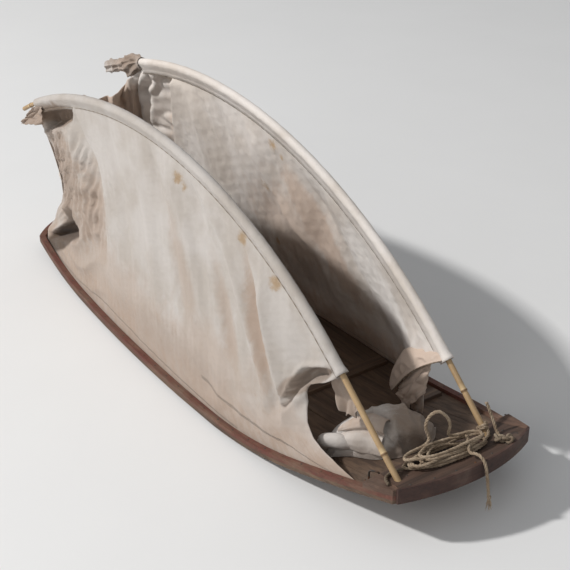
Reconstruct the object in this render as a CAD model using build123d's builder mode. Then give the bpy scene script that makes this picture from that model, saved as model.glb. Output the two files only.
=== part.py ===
from build123d import *
import math
import os

# A flat, boat-shaped dog sled: a hull of bent planks with an edge rail all round, canvas sides that
# hang from two arched bamboo canes, and a hauling rope coiled on the bow deck.
# Millimetres. +X runs to the bow, +Y to port, +Z up, and the runner soles stand on Z = 0.

os.makedirs("parts", exist_ok=True)

# Hull plan, seen from above: the four corners, the widest station, and the bulge past the corners
bow_corner_x = 823.5
bow_corner_half = 190.0
bow_bulge = 45.5
widest_x = 215.0
widest_half = 262.0
stern_corner_x = -798.5
stern_corner_half = 178.0
stern_bulge = 76.5
bow_apex = bow_corner_x + bow_bulge
stern_apex = stern_corner_x - stern_bulge

# Rocker, seen from the side: a flat middle, a sweep up to a straight ramp, and a slow stern curve
flat_front = 260.0
flat_rear = -435.0
bow_radius = 1400.0
bow_rise = 12.0
stern_radius = 2360.0
stern_sweep = 13.0
ramp_length = 420.0

# Thicknesses and widths of the wooden pieces
runner_height = 6.0
runner_width = 28.0
runner_round = 8.0
runner_setback = 12.0
plank_thickness = 9.0
plank_gap = 1.5
plank_count = 5
rail_height = 10.0
rail_width = 16.0
batten_width = 34.0
batten_height = 9.0
batten_clearance = 9.0
deck_thickness = 14.0
deck_depth = 73.5
seam_gap = 0.8
seam_rear_inset = 30.0
seam_front_inset = 14.0
beam_width = 46.0
beam_setback = 26.5
beam_clearance = 1.0
nosing_thickness = 6.0
nosing_proud = 3.0

# Bamboo canes and the canvas sleeves sewn round them
cane_radius = 6.5
sleeve_wall = 2.5
sleeve_ease = 3.0
sleeve_inner = cane_radius + sleeve_ease
sleeve_outer = sleeve_inner + sleeve_wall
fit_clearance = 0.25

# Canvas
canvas_wall = 3.0
seat_clearance = 0.3
wall_rear_margin = 28.5
wall_front_margin = 88.5
edge_slack = -0.5
heap_setback = 105.0
heap_y = -48.0
heap_length = 188.0
heap_width = 260.0
heap_height = 78.0
heap_taper = 26.0
heap_round = 66.0
wrap_radius = 21.0
wrap_sweep = 3.6

# Rope, and the iron staple behind the deck
rope_radius = 3.5
arc_share = 0.45
coil_length = 200.0
coil_width = 84.0
coil_height = 32.0
coil_setback = 28.5
coil_y = -23.0
coil_turn = 7.0
coil_round = 14.4
knot_lead = 16.5
knot_y = 112.0
knot_length = 30.0
knot_width = 20.0
knot_height = 15.0
knot_round = 6.7
lashing_turns = 2
wire_radius = 2.0
wire_bend = 6.0
staple_height = 26.0
staple_width = 22.0
staple_setback = 26.0
staple_y = -168.0
staple_turn = 55.0

# Levels are heights above the runner soles, measured square to the rocker
plank_low = runner_height
plank_top = plank_low + plank_thickness
rail_top = plank_top + rail_height
deck_top = rail_top + deck_thickness
deck_rear_x = bow_corner_x - deck_depth
# Reach is more than the sled measures from its middle plane, for cuts that go right through
reach = 2 * widest_half


def level_height(x, level):
    """Height above the floor of a level of the rocker at a station x."""
    if x < flat_rear:
        radius = stern_radius - level
        return stern_radius - math.sqrt(radius**2 - (flat_rear - x) ** 2)
    rise = math.radians(bow_rise)
    radius = bow_radius - level
    ramp_x = flat_front + radius * math.sin(rise)
    if x > ramp_x:
        return bow_radius - radius * math.cos(rise) + (x - ramp_x) * math.tan(rise)
    if x > flat_front:
        return bow_radius - math.sqrt(radius**2 - (x - flat_front) ** 2)
    return level


def half_width(x):
    """Half the hull's width at a station x."""
    corner_x = bow_corner_x if x > widest_x else stern_corner_x
    corner_half = bow_corner_half if x > widest_x else stern_corner_half
    drop = widest_half - corner_half
    run = corner_x - widest_x
    radius = (run**2 + drop**2) / (2 * drop)
    return widest_half - radius + math.sqrt(radius**2 - (x - widest_x) ** 2)


def ramp_plane(x, y, level, clearance=0.0):
    """Plane lying on a level of the bow ramp at a point, raised by a clearance."""
    rise = math.radians(bow_rise)
    origin = (x, y, level_height(x, level) + clearance / math.cos(rise))
    forward = (math.cos(rise), 0, math.sin(rise))
    return Plane(origin=origin, x_dir=forward, z_dir=(-math.sin(rise), 0, math.cos(rise)))


def level_band(low, high):
    """Side profile of a sheet bent to the rocker, between two levels."""
    ends = []
    with BuildSketch() as band:
        with BuildLine():
            for level in (low, high):
                stern_end = 270 - stern_sweep
                stern = CenterArc((flat_rear, stern_radius), stern_radius - level, stern_end, stern_sweep)
                bow = CenterArc((flat_front, bow_radius), bow_radius - level, 270, bow_rise)
                Line(stern @ 1, bow @ 0)
                ramp = PolarLine(bow @ 1, ramp_length, bow_rise)
                ends.append((stern @ 0, ramp @ 1))
            Line(ends[0][0], ends[1][0])
            Line(ends[0][1], ends[1][1])
        make_face()
    return band.sketch


def hull_plan(inset=0.0):
    """Plan of the hull inside its edge by an inset."""
    bow = [(bow_corner_x, -bow_corner_half), (bow_apex, 0), (bow_corner_x, bow_corner_half)]
    stern = [(stern_corner_x, -stern_corner_half), (stern_apex, 0), (stern_corner_x, stern_corner_half)]
    with BuildSketch() as plan:
        with BuildLine():
            TangentArc((widest_x, widest_half), bow[2], tangent=(1, 0))
            TangentArc((widest_x, widest_half), stern[2], tangent=(-1, 0))
            mirror(about=Plane.XZ)
            ThreePointArc(*bow)
            ThreePointArc(*stern)
        make_face()
        if inset:
            offset(amount=-inset, kind=Kind.INTERSECTION)
    return plan.sketch


def strip_plan(x_low, x_high, y_low, y_high):
    """A rectangle in plan, given by its limits."""
    with BuildSketch() as strip:
        with Locations(((x_low + x_high) / 2, (y_low + y_high) / 2)):
            Rectangle(x_high - x_low, y_high - y_low)
    return strip.sketch


def bent_sheet(low, high, plan):
    """Solid between two levels of the rocker, trimmed to a plan."""
    with BuildPart() as sheet:
        with BuildSketch(Plane.XZ):
            add(level_band(low, high))
        extrude(amount=reach, both=True)
        with BuildSketch():
            add(plan)
        extrude(amount=reach, mode=Mode.INTERSECT)
    return sheet.part


def below(level):
    """Solid that fills the whole width under a level of the rocker."""
    with BuildPart() as block:
        with BuildSketch(Plane.XZ):
            add(level_band(-reach, level))
        extrude(amount=reach, both=True)
    return block.part


def save(builder, name):
    """Label a finished piece and write it."""
    builder.part.label = name
    export_step(builder.part, f"parts/{name}.step")


# Planks, side by side under the whole plan
plank_pitch = 2 * widest_half / plank_count
plank_names = ["plank_outer_starboard", "plank_inner_starboard", "plank_centre"]
plank_names += ["plank_inner_port", "plank_outer_port"]
for place, name in enumerate(plank_names):
    with BuildPart() as plank:
        plank_y = (place - (plank_count - 1) / 2) * plank_pitch
        plank_half = (plank_pitch - plank_gap) / 2
        strip = strip_plan(2 * stern_apex, 2 * bow_apex, plank_y - plank_half, plank_y + plank_half)
        with BuildSketch() as plank_plan:
            add(hull_plan())
            add(strip, mode=Mode.INTERSECT)
        add(bent_sheet(plank_low, plank_top, plank_plan.sketch))
    save(plank, name)

# Runners, one under the middle of each inner plank
for name, y in [("runner_starboard", -plank_pitch), ("runner_centre", 0.0), ("runner_port", plank_pitch)]:
    with BuildPart() as runner:
        with BuildSketch() as runner_plan:
            add(hull_plan(runner_setback))
            strip = strip_plan(2 * stern_apex, 2 * bow_apex, y - runner_width / 2, y + runner_width / 2)
            add(strip, mode=Mode.INTERSECT)
            fillet(runner_plan.vertices(), runner_round)
        add(bent_sheet(0, plank_low, runner_plan.sketch))
    save(runner, name)

# Edge rails on the planks: two sides, the stern and the bow, cut square where they meet
stern_joint_x = stern_corner_x + rail_width
bow_joint_x = bow_corner_x - rail_width
# Rail table: name, plan limits as x low, x high, y low, y high
rails = [
    ("rail_starboard", stern_joint_x, bow_joint_x, -reach, 0.0),
    ("rail_port", stern_joint_x, bow_joint_x, 0.0, reach),
    ("rail_stern", 2 * stern_apex, stern_joint_x, -reach, reach),
    ("rail_bow", bow_joint_x, 2 * bow_apex, -reach, reach),
]
for name, x_low, x_high, y_low, y_high in rails:
    with BuildPart() as rail:
        with BuildSketch() as rail_plan:
            add(hull_plan())
            add(hull_plan(rail_width), mode=Mode.SUBTRACT)
            add(strip_plan(x_low, x_high, y_low, y_high), mode=Mode.INTERSECT)
        add(bent_sheet(plank_top, rail_top, rail_plan.sketch))
    save(rail, name)

# Cross battens that tie the planks together inside the canvas
batten_inset = rail_width + canvas_wall + batten_clearance
battens = {"batten_1": -690.0, "batten_2": -360.0, "batten_3": -30.0, "batten_4": 300.0, "batten_5": 515.0}
for name, x in battens.items():
    with BuildPart() as batten:
        with BuildSketch() as batten_plan:
            add(hull_plan(batten_inset))
            add(strip_plan(x - batten_width / 2, x + batten_width / 2, -reach, reach), mode=Mode.INTERSECT)
        add(bent_sheet(plank_top, plank_top + batten_height, batten_plan.sketch))
    save(batten, name)

# Deck beam under the cane feet, between the side rails
beam_x = bow_corner_x - beam_setback
with BuildPart() as deck_beam:
    with BuildSketch() as beam_plan:
        add(hull_plan(rail_width + beam_clearance))
        add(strip_plan(beam_x - beam_width / 2, beam_x + beam_width / 2, -reach, reach), mode=Mode.INTERSECT)
    add(bent_sheet(plank_top, rail_top, beam_plan.sketch))
save(deck_beam, "deck_beam")

# Canes: each stands in the deck, runs straight for a while, then bends in one long arc to its tip
# Setback and inset place the foot from the bow corner, toe is the cane's turn in plan to starboard,
# and the sleeve starts a distance along the cane and ends at an angle of the arc
canes = {
    "starboard": dict(
        side=-1, foot_setback=26.0, foot_inset=35.0, toe=1.5, rise=42.0, straight=262.0, radius=1199.0,
        sweep=70.3, sleeve_start=240.0, sleeve_sweep=65.8,
    ),
    "port": dict(
        side=1, foot_setback=36.0, foot_inset=87.0, toe=0.2, rise=43.0, straight=186.0, radius=1382.0,
        sweep=65.4, sleeve_start=178.0, sleeve_sweep=57.0,
    ),
}
port = canes["port"]


def cane_plane(cane):
    """Upright plane through a cane, with its origin where the cane's axis meets the deck's top."""
    toe = math.radians(cane["toe"])
    foot_x = bow_corner_x - cane["foot_setback"]
    foot_y = cane["side"] * (bow_corner_half - cane["foot_inset"])
    aft = (-math.cos(toe), -math.sin(toe), 0)
    foot = (foot_x, foot_y, level_height(foot_x, deck_top))
    return Plane(origin=foot, x_dir=aft, z_dir=(aft[1], -aft[0], 0))


def cane_bend(cane):
    """Start and centre of a cane's arc, each as distance aft of the foot and height above it."""
    rise = math.radians(cane["rise"])
    start = (cane["straight"] * math.cos(rise), cane["straight"] * math.sin(rise))
    centre = (start[0] + cane["radius"] * math.sin(rise), start[1] - cane["radius"] * math.cos(rise))
    return start, centre


def cane_point(cane, x):
    """Offset to port, height and slope in degrees of a cane's axis at a station x."""
    foot = cane_plane(cane)
    start, centre = cane_bend(cane)
    run = (x - foot.origin.X) / foot.x_dir.X
    y = foot.origin.Y + run * foot.x_dir.Y
    if run < start[0]:
        return y, foot.origin.Z + run * math.tan(math.radians(cane["rise"])), cane["rise"]
    lean = math.asin((centre[0] - run) / cane["radius"])
    return y, foot.origin.Z + centre[1] + cane["radius"] * math.cos(lean), math.degrees(lean)


def cane_path(cane, start_length, end_sweep, start_sweep=0.0):
    """Axis of a cane to an angle of its arc, from a distance along its straight run or from another angle."""
    rise = math.radians(cane["rise"])
    start, centre = cane_bend(cane)
    with BuildLine(cane_plane(cane)) as path:
        if not start_sweep:
            Line((start_length * math.cos(rise), start_length * math.sin(rise)), start)
        CenterArc(centre, cane["radius"], 90 + cane["rise"] - start_sweep, start_sweep - end_sweep)
    return path.line


def tube_along(path, outer, inner=0.0):
    """A round rod or tube along a path."""
    with BuildPart() as tube:
        with BuildSketch(Plane(origin=path @ 0, z_dir=path % 0)):
            Circle(outer)
            if inner:
                Circle(inner, mode=Mode.SUBTRACT)
        sweep(path=path)
    return tube.part


# The sunk length reaches through the deck at the flatter cane's angle
sunk_length = (deck_thickness + rail_height) / math.sin(math.radians(bow_rise + canes["starboard"]["rise"]))
for side, cane in canes.items():
    with BuildPart() as rod:
        add(tube_along(cane_path(cane, -sunk_length, cane["sweep"]), cane_radius))
        add(below(rail_top), mode=Mode.SUBTRACT)
    save(rod, f"cane_{side}")
    with BuildPart() as sleeve:
        sleeve_path = cane_path(cane, cane["sleeve_start"], cane["sleeve_sweep"])
        add(tube_along(sleeve_path, sleeve_outer, sleeve_inner))
    save(sleeve, f"sleeve_{side}")

# Bow deck: a cross-grained plank between two fore-and-aft cheeks, with sockets for the canes
seam_rear_y = bow_corner_half - seam_rear_inset
seam_slope = (seam_rear_inset - seam_front_inset) / deck_depth


def seam_side(y_sign, gap_side):
    """Plan of the deck on the inner side of one oblique seam."""
    rear_x = deck_rear_x - reach
    front_x = deck_rear_x + reach
    shift = gap_side * seam_gap / 2
    with BuildSketch() as inner:
        with BuildLine():
            Polyline(
                (rear_x, y_sign * (seam_rear_y - reach * seam_slope + shift)),
                (front_x, y_sign * (seam_rear_y + reach * seam_slope + shift)),
                (front_x, -y_sign * reach),
                (rear_x, -y_sign * reach),
                close=True,
            )
        make_face()
    return inner.sketch


for name, y_sign in [("deck_plank", 0), ("deck_cheek_starboard", -1), ("deck_cheek_port", 1)]:
    with BuildPart() as deck:
        with BuildSketch() as deck_plan:
            add(hull_plan())
            add(strip_plan(deck_rear_x, 2 * bow_apex, -reach, reach), mode=Mode.INTERSECT)
            if y_sign == 0:
                add(seam_side(1, -1), mode=Mode.INTERSECT)
                add(seam_side(-1, -1), mode=Mode.INTERSECT)
            else:
                add(seam_side(y_sign, 1), mode=Mode.SUBTRACT)
        add(bent_sheet(rail_top, deck_top, deck_plan.sketch))
        if y_sign == 0:
            for cane in canes.values():
                socket_path = cane_path(cane, -2 * sunk_length, cane["sweep"])
                add(tube_along(socket_path, cane_radius + fit_clearance), mode=Mode.SUBTRACT)
    save(deck, name)

# Nosing round the bow, over the end grain of the planks, rail and deck
with BuildPart() as bow_nosing:
    with BuildSketch() as nosing_plan:
        with Locations((nosing_thickness, 0)):
            add(hull_plan())
        add(hull_plan(), mode=Mode.SUBTRACT)
        nosing_half = bow_corner_half - nosing_thickness
        add(strip_plan(bow_corner_x, 2 * bow_apex, -nosing_half, nosing_half), mode=Mode.INTERSECT)
    add(bent_sheet(plank_low, deck_top + nosing_proud, nosing_plan.sketch))
save(bow_nosing, "bow_nosing")

# Canvas sides: a thin wall from the rail up to the sleeve, lofted through curved upright sections
# The front and rear edges of each wall are cut to a side outline, given as x and height of its points
# Rear foot and belly are ahead of the stern corners, rear top is ahead of the sleeve's end, and the
# others are behind the bow corners
wall_outlines = {
    "starboard": dict(
        rear_foot=(26.5, 20.0), rear_belly=(53.5, 250.0), rear_top=(33.0, 620.0),
        front_top=(222.0, 299.0), front_belly=(295.5, 205.0), front_waist=(257.5, 137.0),
        strip_belly=(168.5, 124.0), strip_end=(92.5, 84.0),
    ),
    "port": dict(
        rear_foot=(26.5, 20.0), rear_belly=(63.5, 250.0), rear_top=(65.0, 640.0),
        front_top=(179.0, 284.0), front_belly=(275.5, 205.0), front_waist=(345.5, 110.0),
        strip_belly=(361.5, 70.0), strip_end=(378.5, 10.0),
    ),
}
first_station = stern_corner_x + wall_rear_margin
last_station = bow_corner_x - wall_front_margin
wall_foot_inset = rail_width + seat_clearance

# Room that the rails take up, with the clearance of the canvas to them
with BuildSketch() as rail_room_plan:
    add(hull_plan())
    add(hull_plan(wall_foot_inset), mode=Mode.SUBTRACT)
rail_room = bent_sheet(plank_low, rail_top + seat_clearance, rail_room_plan.sketch)

# The canvas hangs a little slack between rail and sleeve, in broad upright folds
# Fold table, from the stern to the bow at even stations: how far the middle of the wall's section stands
# out of a straight line, less than zero where it hangs inwards
# The edges are held almost straight, and at starboard the front drops in to a pocket
wall_folds = {
    "starboard": [
        edge_slack, edge_slack, edge_slack, 4.0, 7.0, -14.0, -7.0, -8.0, -10.0, -9.0, -7.0,
        -8.0, -10.0, -10.0, -7.0, -3.0, -6.0, -20.0, -14.0, -3.0, edge_slack,
    ],
    "port": [
        edge_slack, edge_slack, edge_slack, -8.0, 1.0, -8.0, -15.0, -16.0, -8.0, 1.0, -10.0,
        -12.0, 1.0, -14.0, -8.0, 1.0, -6.0, -4.0, edge_slack, edge_slack, edge_slack,
    ],
}


def rear_outline(name):
    """Rear foot, belly and top of a side wall, as x and height."""
    cane = canes[name]
    outline = wall_outlines[name]
    arc_end = math.radians(cane["sleeve_sweep"] - cane["rise"])
    sleeve_run = cane_bend(cane)[1][0] + cane["radius"] * math.sin(arc_end)
    sleeve_end_x = cane_plane(cane).origin.X + sleeve_run * cane_plane(cane).x_dir.X
    foot = (stern_corner_x + outline["rear_foot"][0], outline["rear_foot"][1])
    belly = (stern_corner_x + outline["rear_belly"][0], outline["rear_belly"][1])
    return foot, belly, (sleeve_end_x + outline["rear_top"][0], outline["rear_top"][1])


def front_outline(name):
    """Front top, belly and waist, and belly and end of the strip on the rail, as x and height."""
    keys = ("front_top", "front_belly", "front_waist", "strip_belly", "strip_end")
    return [(bow_corner_x - wall_outlines[name][key][0], wall_outlines[name][key][1]) for key in keys]


def wall_section(cane, x, stand_out):
    """Foot, middle and top of a wall's outer and inner face at a station, as offset to port and height."""
    top_y, top_z, slope = cane_point(cane, x)
    top_z -= (sleeve_outer + seat_clearance) / math.cos(math.radians(slope))
    foot_y = cane["side"] * (half_width(x) - wall_foot_inset)
    foot_z = level_height(x, plank_low)
    faces = []
    for foot_depth, top_depth in [(0.0, -canvas_wall / 2), (canvas_wall, canvas_wall / 2)]:
        foot = (foot_y - cane["side"] * foot_depth, foot_z)
        top = (top_y - cane["side"] * top_depth, top_z)
        middle = ((foot[0] + top[0]) / 2 + cane["side"] * stand_out, (foot_z + top_z) / 2)
        faces.append((foot, middle, top))
    return faces


def rear_edge_x(name, height):
    """Station of a wall's curved rear edge at a height: a circle through its rear outline."""
    (x1, z1), (x2, z2), (x3, z3) = rear_outline(name)
    twice_area = 2 * (x1 * (z2 - z3) + x2 * (z3 - z1) + x3 * (z1 - z2))
    squares = (x1**2 + z1**2, x2**2 + z2**2, x3**2 + z3**2)
    centre_x = (squares[0] * (z2 - z3) + squares[1] * (z3 - z1) + squares[2] * (z1 - z2)) / twice_area
    centre_z = (squares[0] * (x3 - x2) + squares[1] * (x1 - x3) + squares[2] * (x2 - x1)) / twice_area
    radius = math.hypot(x1 - centre_x, z1 - centre_z)
    side = 1 if x2 > centre_x else -1
    return centre_x + side * math.sqrt(radius**2 - (height - centre_z) ** 2)


def wall_inner_y(cane, x, height):
    """Offset to port of a side wall's inner face near its rear edge, at a station and height."""
    _, (foot, _, top) = wall_section(cane, x, edge_slack)
    share = (height - foot[1]) / (top[1] - foot[1])
    return foot[0] + share * (top[0] - foot[0]) + cane["side"] * edge_slack * 4 * share * (1 - share)


for name, cane in canes.items():
    with BuildPart() as wall:
        station_pitch = (last_station - first_station) / (len(wall_folds[name]) - 1)
        for place, stand_out in enumerate(wall_folds[name]):
            x = first_station + place * station_pitch
            outer, inner = wall_section(cane, x, stand_out)
            with BuildSketch(Plane(origin=(x, 0, 0), x_dir=(0, 1, 0), z_dir=(1, 0, 0))):
                with BuildLine():
                    ThreePointArc(*outer)
                    Line(outer[2], inner[2])
                    ThreePointArc(*inner)
                    Line(inner[0], outer[0])
                make_face()
        loft(ruled=True)
        rear = rear_outline(name)
        front_top, front_belly, front_waist, strip_belly, strip_end = front_outline(name)
        with BuildSketch(Plane.XZ):
            with BuildLine():
                ThreePointArc(*rear)
                Polyline(rear[2], (rear[2][0], 2 * reach), (front_top[0], 2 * reach), front_top)
                ThreePointArc(front_top, front_belly, front_waist)
                ThreePointArc(front_waist, strip_belly, strip_end)
                Polyline(strip_end, (strip_end[0], -reach), (rear[0][0], -reach), rear[0])
            make_face()
        extrude(amount=reach, both=True, mode=Mode.INTERSECT)
        add(below(plank_top + seat_clearance), mode=Mode.SUBTRACT)
        add(rail_room, mode=Mode.SUBTRACT)
    save(wall, f"wall_{name}")

# Stern panel: canvas round the stern from one wall's rear edge to the other's, lofted through level sections
# Section table: height, then the panel's middle as distance ahead of the stern's apex, and y
stern_sections = [(30.0, 23.0, 0.0), (150.0, 37.0, -5.0), (300.0, 55.0, -20.0), (450.0, 83.0, -35.0)]
with BuildPart() as stern_panel:
    for height, middle_inset, middle_y in stern_sections:
        outer_points = [(stern_apex + middle_inset, middle_y)]
        for place, name in [(0, "starboard"), (2, "port")]:
            end_x = rear_edge_x(name, height) + canvas_wall
            end_y = wall_inner_y(canes[name], end_x + canvas_wall, height)
            outer_points.insert(place, (end_x, end_y - canes[name]["side"] * 2 * seat_clearance))
        with BuildSketch(Plane.XY.offset(height)):
            with BuildLine():
                outer = ThreePointArc(*outer_points)
                inner_points = []
                for point in (outer @ 0, outer @ 0.5, outer @ 1):
                    inward = (outer.arc_center - point).normalized()
                    inner_points.append(point + inward * canvas_wall)
                inner = ThreePointArc(*inner_points)
                Line(outer @ 0, inner @ 0)
                Line(outer @ 1, inner @ 1)
            make_face()
    loft()
    add(below(plank_top + seat_clearance), mode=Mode.SUBTRACT)
    add(rail_room, mode=Mode.SUBTRACT)
save(stern_panel, "stern_panel")

# Loose front panel, crumpled down inside the bow behind the deck
with BuildPart() as front_panel:
    with BuildSketch(ramp_plane(deck_rear_x - heap_setback, heap_y, plank_low)):
        RectangleRounded(heap_length, heap_width, heap_round)
    extrude(amount=heap_height, taper=heap_taper)
    add(below(plank_top + seat_clearance), mode=Mode.SUBTRACT)
save(front_panel, "front_panel")

# Gathered canvas round the port cane, behind its sleeve
with BuildPart() as tip_wrap:
    wrapped = cane_path(port, 0.0, port["sleeve_sweep"] + wrap_sweep, port["sleeve_sweep"])
    add(tube_along(wrapped, wrap_radius, cane_radius + seat_clearance))
save(tip_wrap, "tip_wrap")

# Staple: a bent iron wire driven into the planks behind the deck
with BuildPart() as staple:
    staple_x = deck_rear_x - staple_setback
    staple_foot = (staple_x, staple_y, level_height(staple_x, plank_top))
    turn = math.radians(staple_turn)
    across = (math.sin(turn), math.cos(turn), 0)
    with BuildLine(Plane(origin=staple_foot, x_dir=across, z_dir=(across[1], -across[0], 0))) as wire:
        FilletPolyline(
            (0, 0),
            (0, staple_height),
            (staple_width, staple_height),
            (staple_width, 0),
            radius=wire_bend,
        )
    with BuildSketch(Plane(origin=staple_foot)):
        Circle(wire_radius)
    sweep(path=wire.line)
    add(below(plank_top), mode=Mode.SUBTRACT)
save(staple, "staple")

# Rope coil: the outer shape of the flattened turns, lying on the deck
with BuildPart() as rope_coil:
    with BuildSketch(ramp_plane(bow_corner_x - coil_setback, coil_y, deck_top, seat_clearance)):
        SlotOverall(coil_length, coil_width, rotation=90 - coil_turn)
    extrude(amount=coil_height)
    fillet(rope_coil.faces().sort_by(Axis.Z)[-1].edges(), coil_round)
save(rope_coil, "rope_coil")

# Rope stretches outside the coil
# Route table: name, then points as x, y, z
routes = {
    "rope_tail": [
        (837.2, 2.0, 144.8),
        (858.0, 3.5, 156.0),
        (878.5, 6.0, 148.0),
        (884.0, 9.0, 118.0),
        (883.0, 17.0, 82.0),
        (885.5, 20.0, 46.0),
    ],
    "rope_loop": [
        (764.0, -22.0, 150.1),
        (757.0, -33.0, 176.0),
        (759.0, -28.0, 204.0),
        (770.0, -12.0, 220.0),
        (781.0, 4.0, 206.0),
        (786.0, 13.0, 182.0),
        (782.0, 8.0, 154.2),
    ],
    "rope_lead": [
        (803.0, -184.0, 128.4),
        (783.0, -177.0, 124.1),
        (771.0, -159.0, 122.0),
        (771.0, -140.0, 122.5),
        (779.0, -125.0, 126.0),
    ],
    "rope_end": [
        (827.6, 106.0, 133.7),
        (812.0, 112.0, 130.5),
        (797.0, 119.0, 133.0),
        (785.0, 121.5, 149.0),
        (775.0, 119.0, 168.0),
        (767.0, 114.0, 188.0),
    ],
}
for name, points in routes.items():
    corners = [Vector(*point) for point in points]
    radii = []
    for before, corner, after in zip(corners, corners[1:], corners[2:]):
        shorter = min((corner - before).length, (after - corner).length)
        half_turn = math.radians((corner - before).get_angle(after - corner)) / 2
        radii.append(arc_share * shorter / math.tan(half_turn))
    print(name, "radii", [round(radius, 1) for radius in radii])
    with BuildPart() as rope:
        with BuildLine() as route:
            FilletPolyline(*corners, radius=radii)
        with BuildSketch(Plane(origin=route.line @ 0, z_dir=route.line % 0)):
            Circle(rope_radius)
        sweep(path=route.line)
    length = sum(edge.length for edge in route.edges())
    share = rope.part.volume / (math.pi * rope_radius**2 * length)
    print(name, "length", round(length, 1), "volume over section times length", round(share, 4))
    save(rope, name)

# Lashing of two turns round the port cane's foot, and the knot at the nosing beside it
lashing_inner = cane_radius + seat_clearance
lashing_outer = lashing_inner + 2 * rope_radius
lashing_start = lashing_outer / math.tan(math.radians(bow_rise + port["rise"])) + seat_clearance
with BuildPart() as rope_lashing:
    along = Vector(*cane_path(port, 0.0, port["sweep"]) % 0)
    with BuildSketch(Plane(origin=cane_plane(port).origin + along * lashing_start, z_dir=along)):
        Circle(lashing_outer)
        Circle(lashing_inner, mode=Mode.SUBTRACT)
    extrude(amount=lashing_turns * 2 * rope_radius)
save(rope_lashing, "rope_lashing")

with BuildPart() as rope_knot:
    with BuildSketch(ramp_plane(bow_corner_x + knot_lead, knot_y, deck_top, seat_clearance)):
        SlotOverall(knot_length, knot_width, rotation=90)
    extrude(amount=knot_height)
    fillet(rope_knot.faces().sort_by(Axis.Z)[-1].edges(), knot_round)
save(rope_knot, "rope_knot")
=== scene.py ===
import bpy
import bmesh
import math
import numpy as np
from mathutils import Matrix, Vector


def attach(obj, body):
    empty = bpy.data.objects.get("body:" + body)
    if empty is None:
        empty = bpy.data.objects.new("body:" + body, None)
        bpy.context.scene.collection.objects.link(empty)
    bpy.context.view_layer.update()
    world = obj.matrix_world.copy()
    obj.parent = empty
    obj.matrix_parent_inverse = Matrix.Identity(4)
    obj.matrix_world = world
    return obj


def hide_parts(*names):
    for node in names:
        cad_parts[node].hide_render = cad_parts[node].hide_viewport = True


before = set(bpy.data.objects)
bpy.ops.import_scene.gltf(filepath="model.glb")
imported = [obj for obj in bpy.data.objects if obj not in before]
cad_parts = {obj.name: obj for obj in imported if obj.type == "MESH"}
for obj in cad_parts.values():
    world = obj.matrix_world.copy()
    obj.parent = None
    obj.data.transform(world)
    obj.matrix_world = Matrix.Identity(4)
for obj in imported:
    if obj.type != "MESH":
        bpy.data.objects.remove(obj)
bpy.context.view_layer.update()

# Camera: the photograph's eye height and angle, through a long lens
view = {"place": (2.2369, -1.4806, 1.6), "aim": (-0.71432, 0.51898, -0.46948), "lens": 75.79}


def aimed(name, data, place, toward):
    # an object at a place that looks along a direction
    made = bpy.data.objects.new(name, data)
    made.location = place
    made.rotation_mode = "QUATERNION"
    made.rotation_quaternion = Vector(toward).to_track_quat("-Z", "Y")
    bpy.context.scene.collection.objects.link(made)
    return made


camera = aimed("viewCamera", bpy.data.cameras.new("viewCamera"), view["place"], view["aim"])
camera.data.lens = view["lens"]
bpy.context.scene.camera = camera
print("camera set")


# Curves and waves that the pieces share
def ease(value, low, high):
    # 0 under low, 1 over high, an even S between them
    share = np.clip((value - low) / (high - low), 0, 1)
    return share * share * (3 - 2 * share)


def window(value, low, full, fade, high):
    # 0 outside low and high, 1 between full and fade
    return ease(value, low, full) * (1 - ease(value, fade, high))


def below(share, far, near=0.0):
    # 0 at the upper edge of a cloth, 1 from a share of the way down
    return ease(1 - share, near, far)


def bell(value, middle, width):
    # a bump of height 1 round a middle
    return np.exp(-(((value - middle) / width) ** 2))


def swell(u, v, seed, count, shortest, longest, heading=0.0, spread=math.pi):
    # plane waves of random length, heading and phase, added up to about -1 to 1
    dice = np.random.default_rng(seed)
    total = np.zeros(np.broadcast(u, v).shape)
    for _ in range(count):
        length = dice.uniform(shortest, longest)
        angle = heading + dice.uniform(-spread, spread)
        total = total + np.sin(2 * np.pi * (u * np.cos(angle) + v * np.sin(angle)) / length + dice.uniform(0, 6.3))
    return total / math.sqrt(count)


def ridged(wave):
    # turns a wave into soft valleys with sharp crests
    return 1 - 2 * np.abs(np.clip(wave, -1.5, 1.5)) ** 0.8


def unit(vectors):
    return vectors / np.maximum(np.linalg.norm(vectors, axis=-1, keepdims=True), 1e-12)


def joined(*parts):
    return np.stack(np.broadcast_arrays(*parts), -1)


def shares(rows, columns):
    return np.broadcast_arrays(np.linspace(0, 1, rows)[:, None], np.linspace(0, 1, columns)[None, :])


def alongPath(path):
    # distance along a path at each of its points
    return np.concatenate([[0], np.cumsum(np.linalg.norm(np.diff(path, axis=0), axis=1))])


def evenLine(points, count):
    gone = alongPath(points)
    even = np.linspace(0, gone[-1], count)
    return np.stack([np.interp(even, gone, points[:, axis]) for axis in range(3)], -1)


def rounded(line, reach):
    # a short average along a line, whose ends stay in place
    weight = np.hanning(reach)
    pad = reach // 2
    line = np.concatenate([2 * line[0] - line[pad:0:-1], line, 2 * line[-1] - line[-2:-pad - 2:-1]])
    return np.stack([np.convolve(column, weight / weight.sum(), "valid") for column in line.T], -1)


def smoothLine(points, count):
    # the points joined by straight runs, evened out and rounded
    return rounded(evenLine(np.asarray(points, float), count), count // 6 * 2 + 1)


def curveTable(share, places, values):
    # a table read with its corners rounded off
    fine = np.linspace(0, 1, 400)
    return np.interp(share, fine, rounded(np.interp(fine, places, values)[:, None], 23)[:, 0])


def softTable(value, places, values, reach):
    # a table read through a short average, which rounds its corners
    steps = np.linspace(-1, 1, 9)
    weights = 1 - steps**2
    parts = [weight * np.interp(value + reach * step, places, values) for step, weight in zip(steps, weights)]
    return sum(parts) / weights.sum()


def gridNormals(points):
    # cross product of the two grid directions
    return unit(np.cross(np.gradient(points, axis=0), np.gradient(points, axis=1)))


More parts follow.
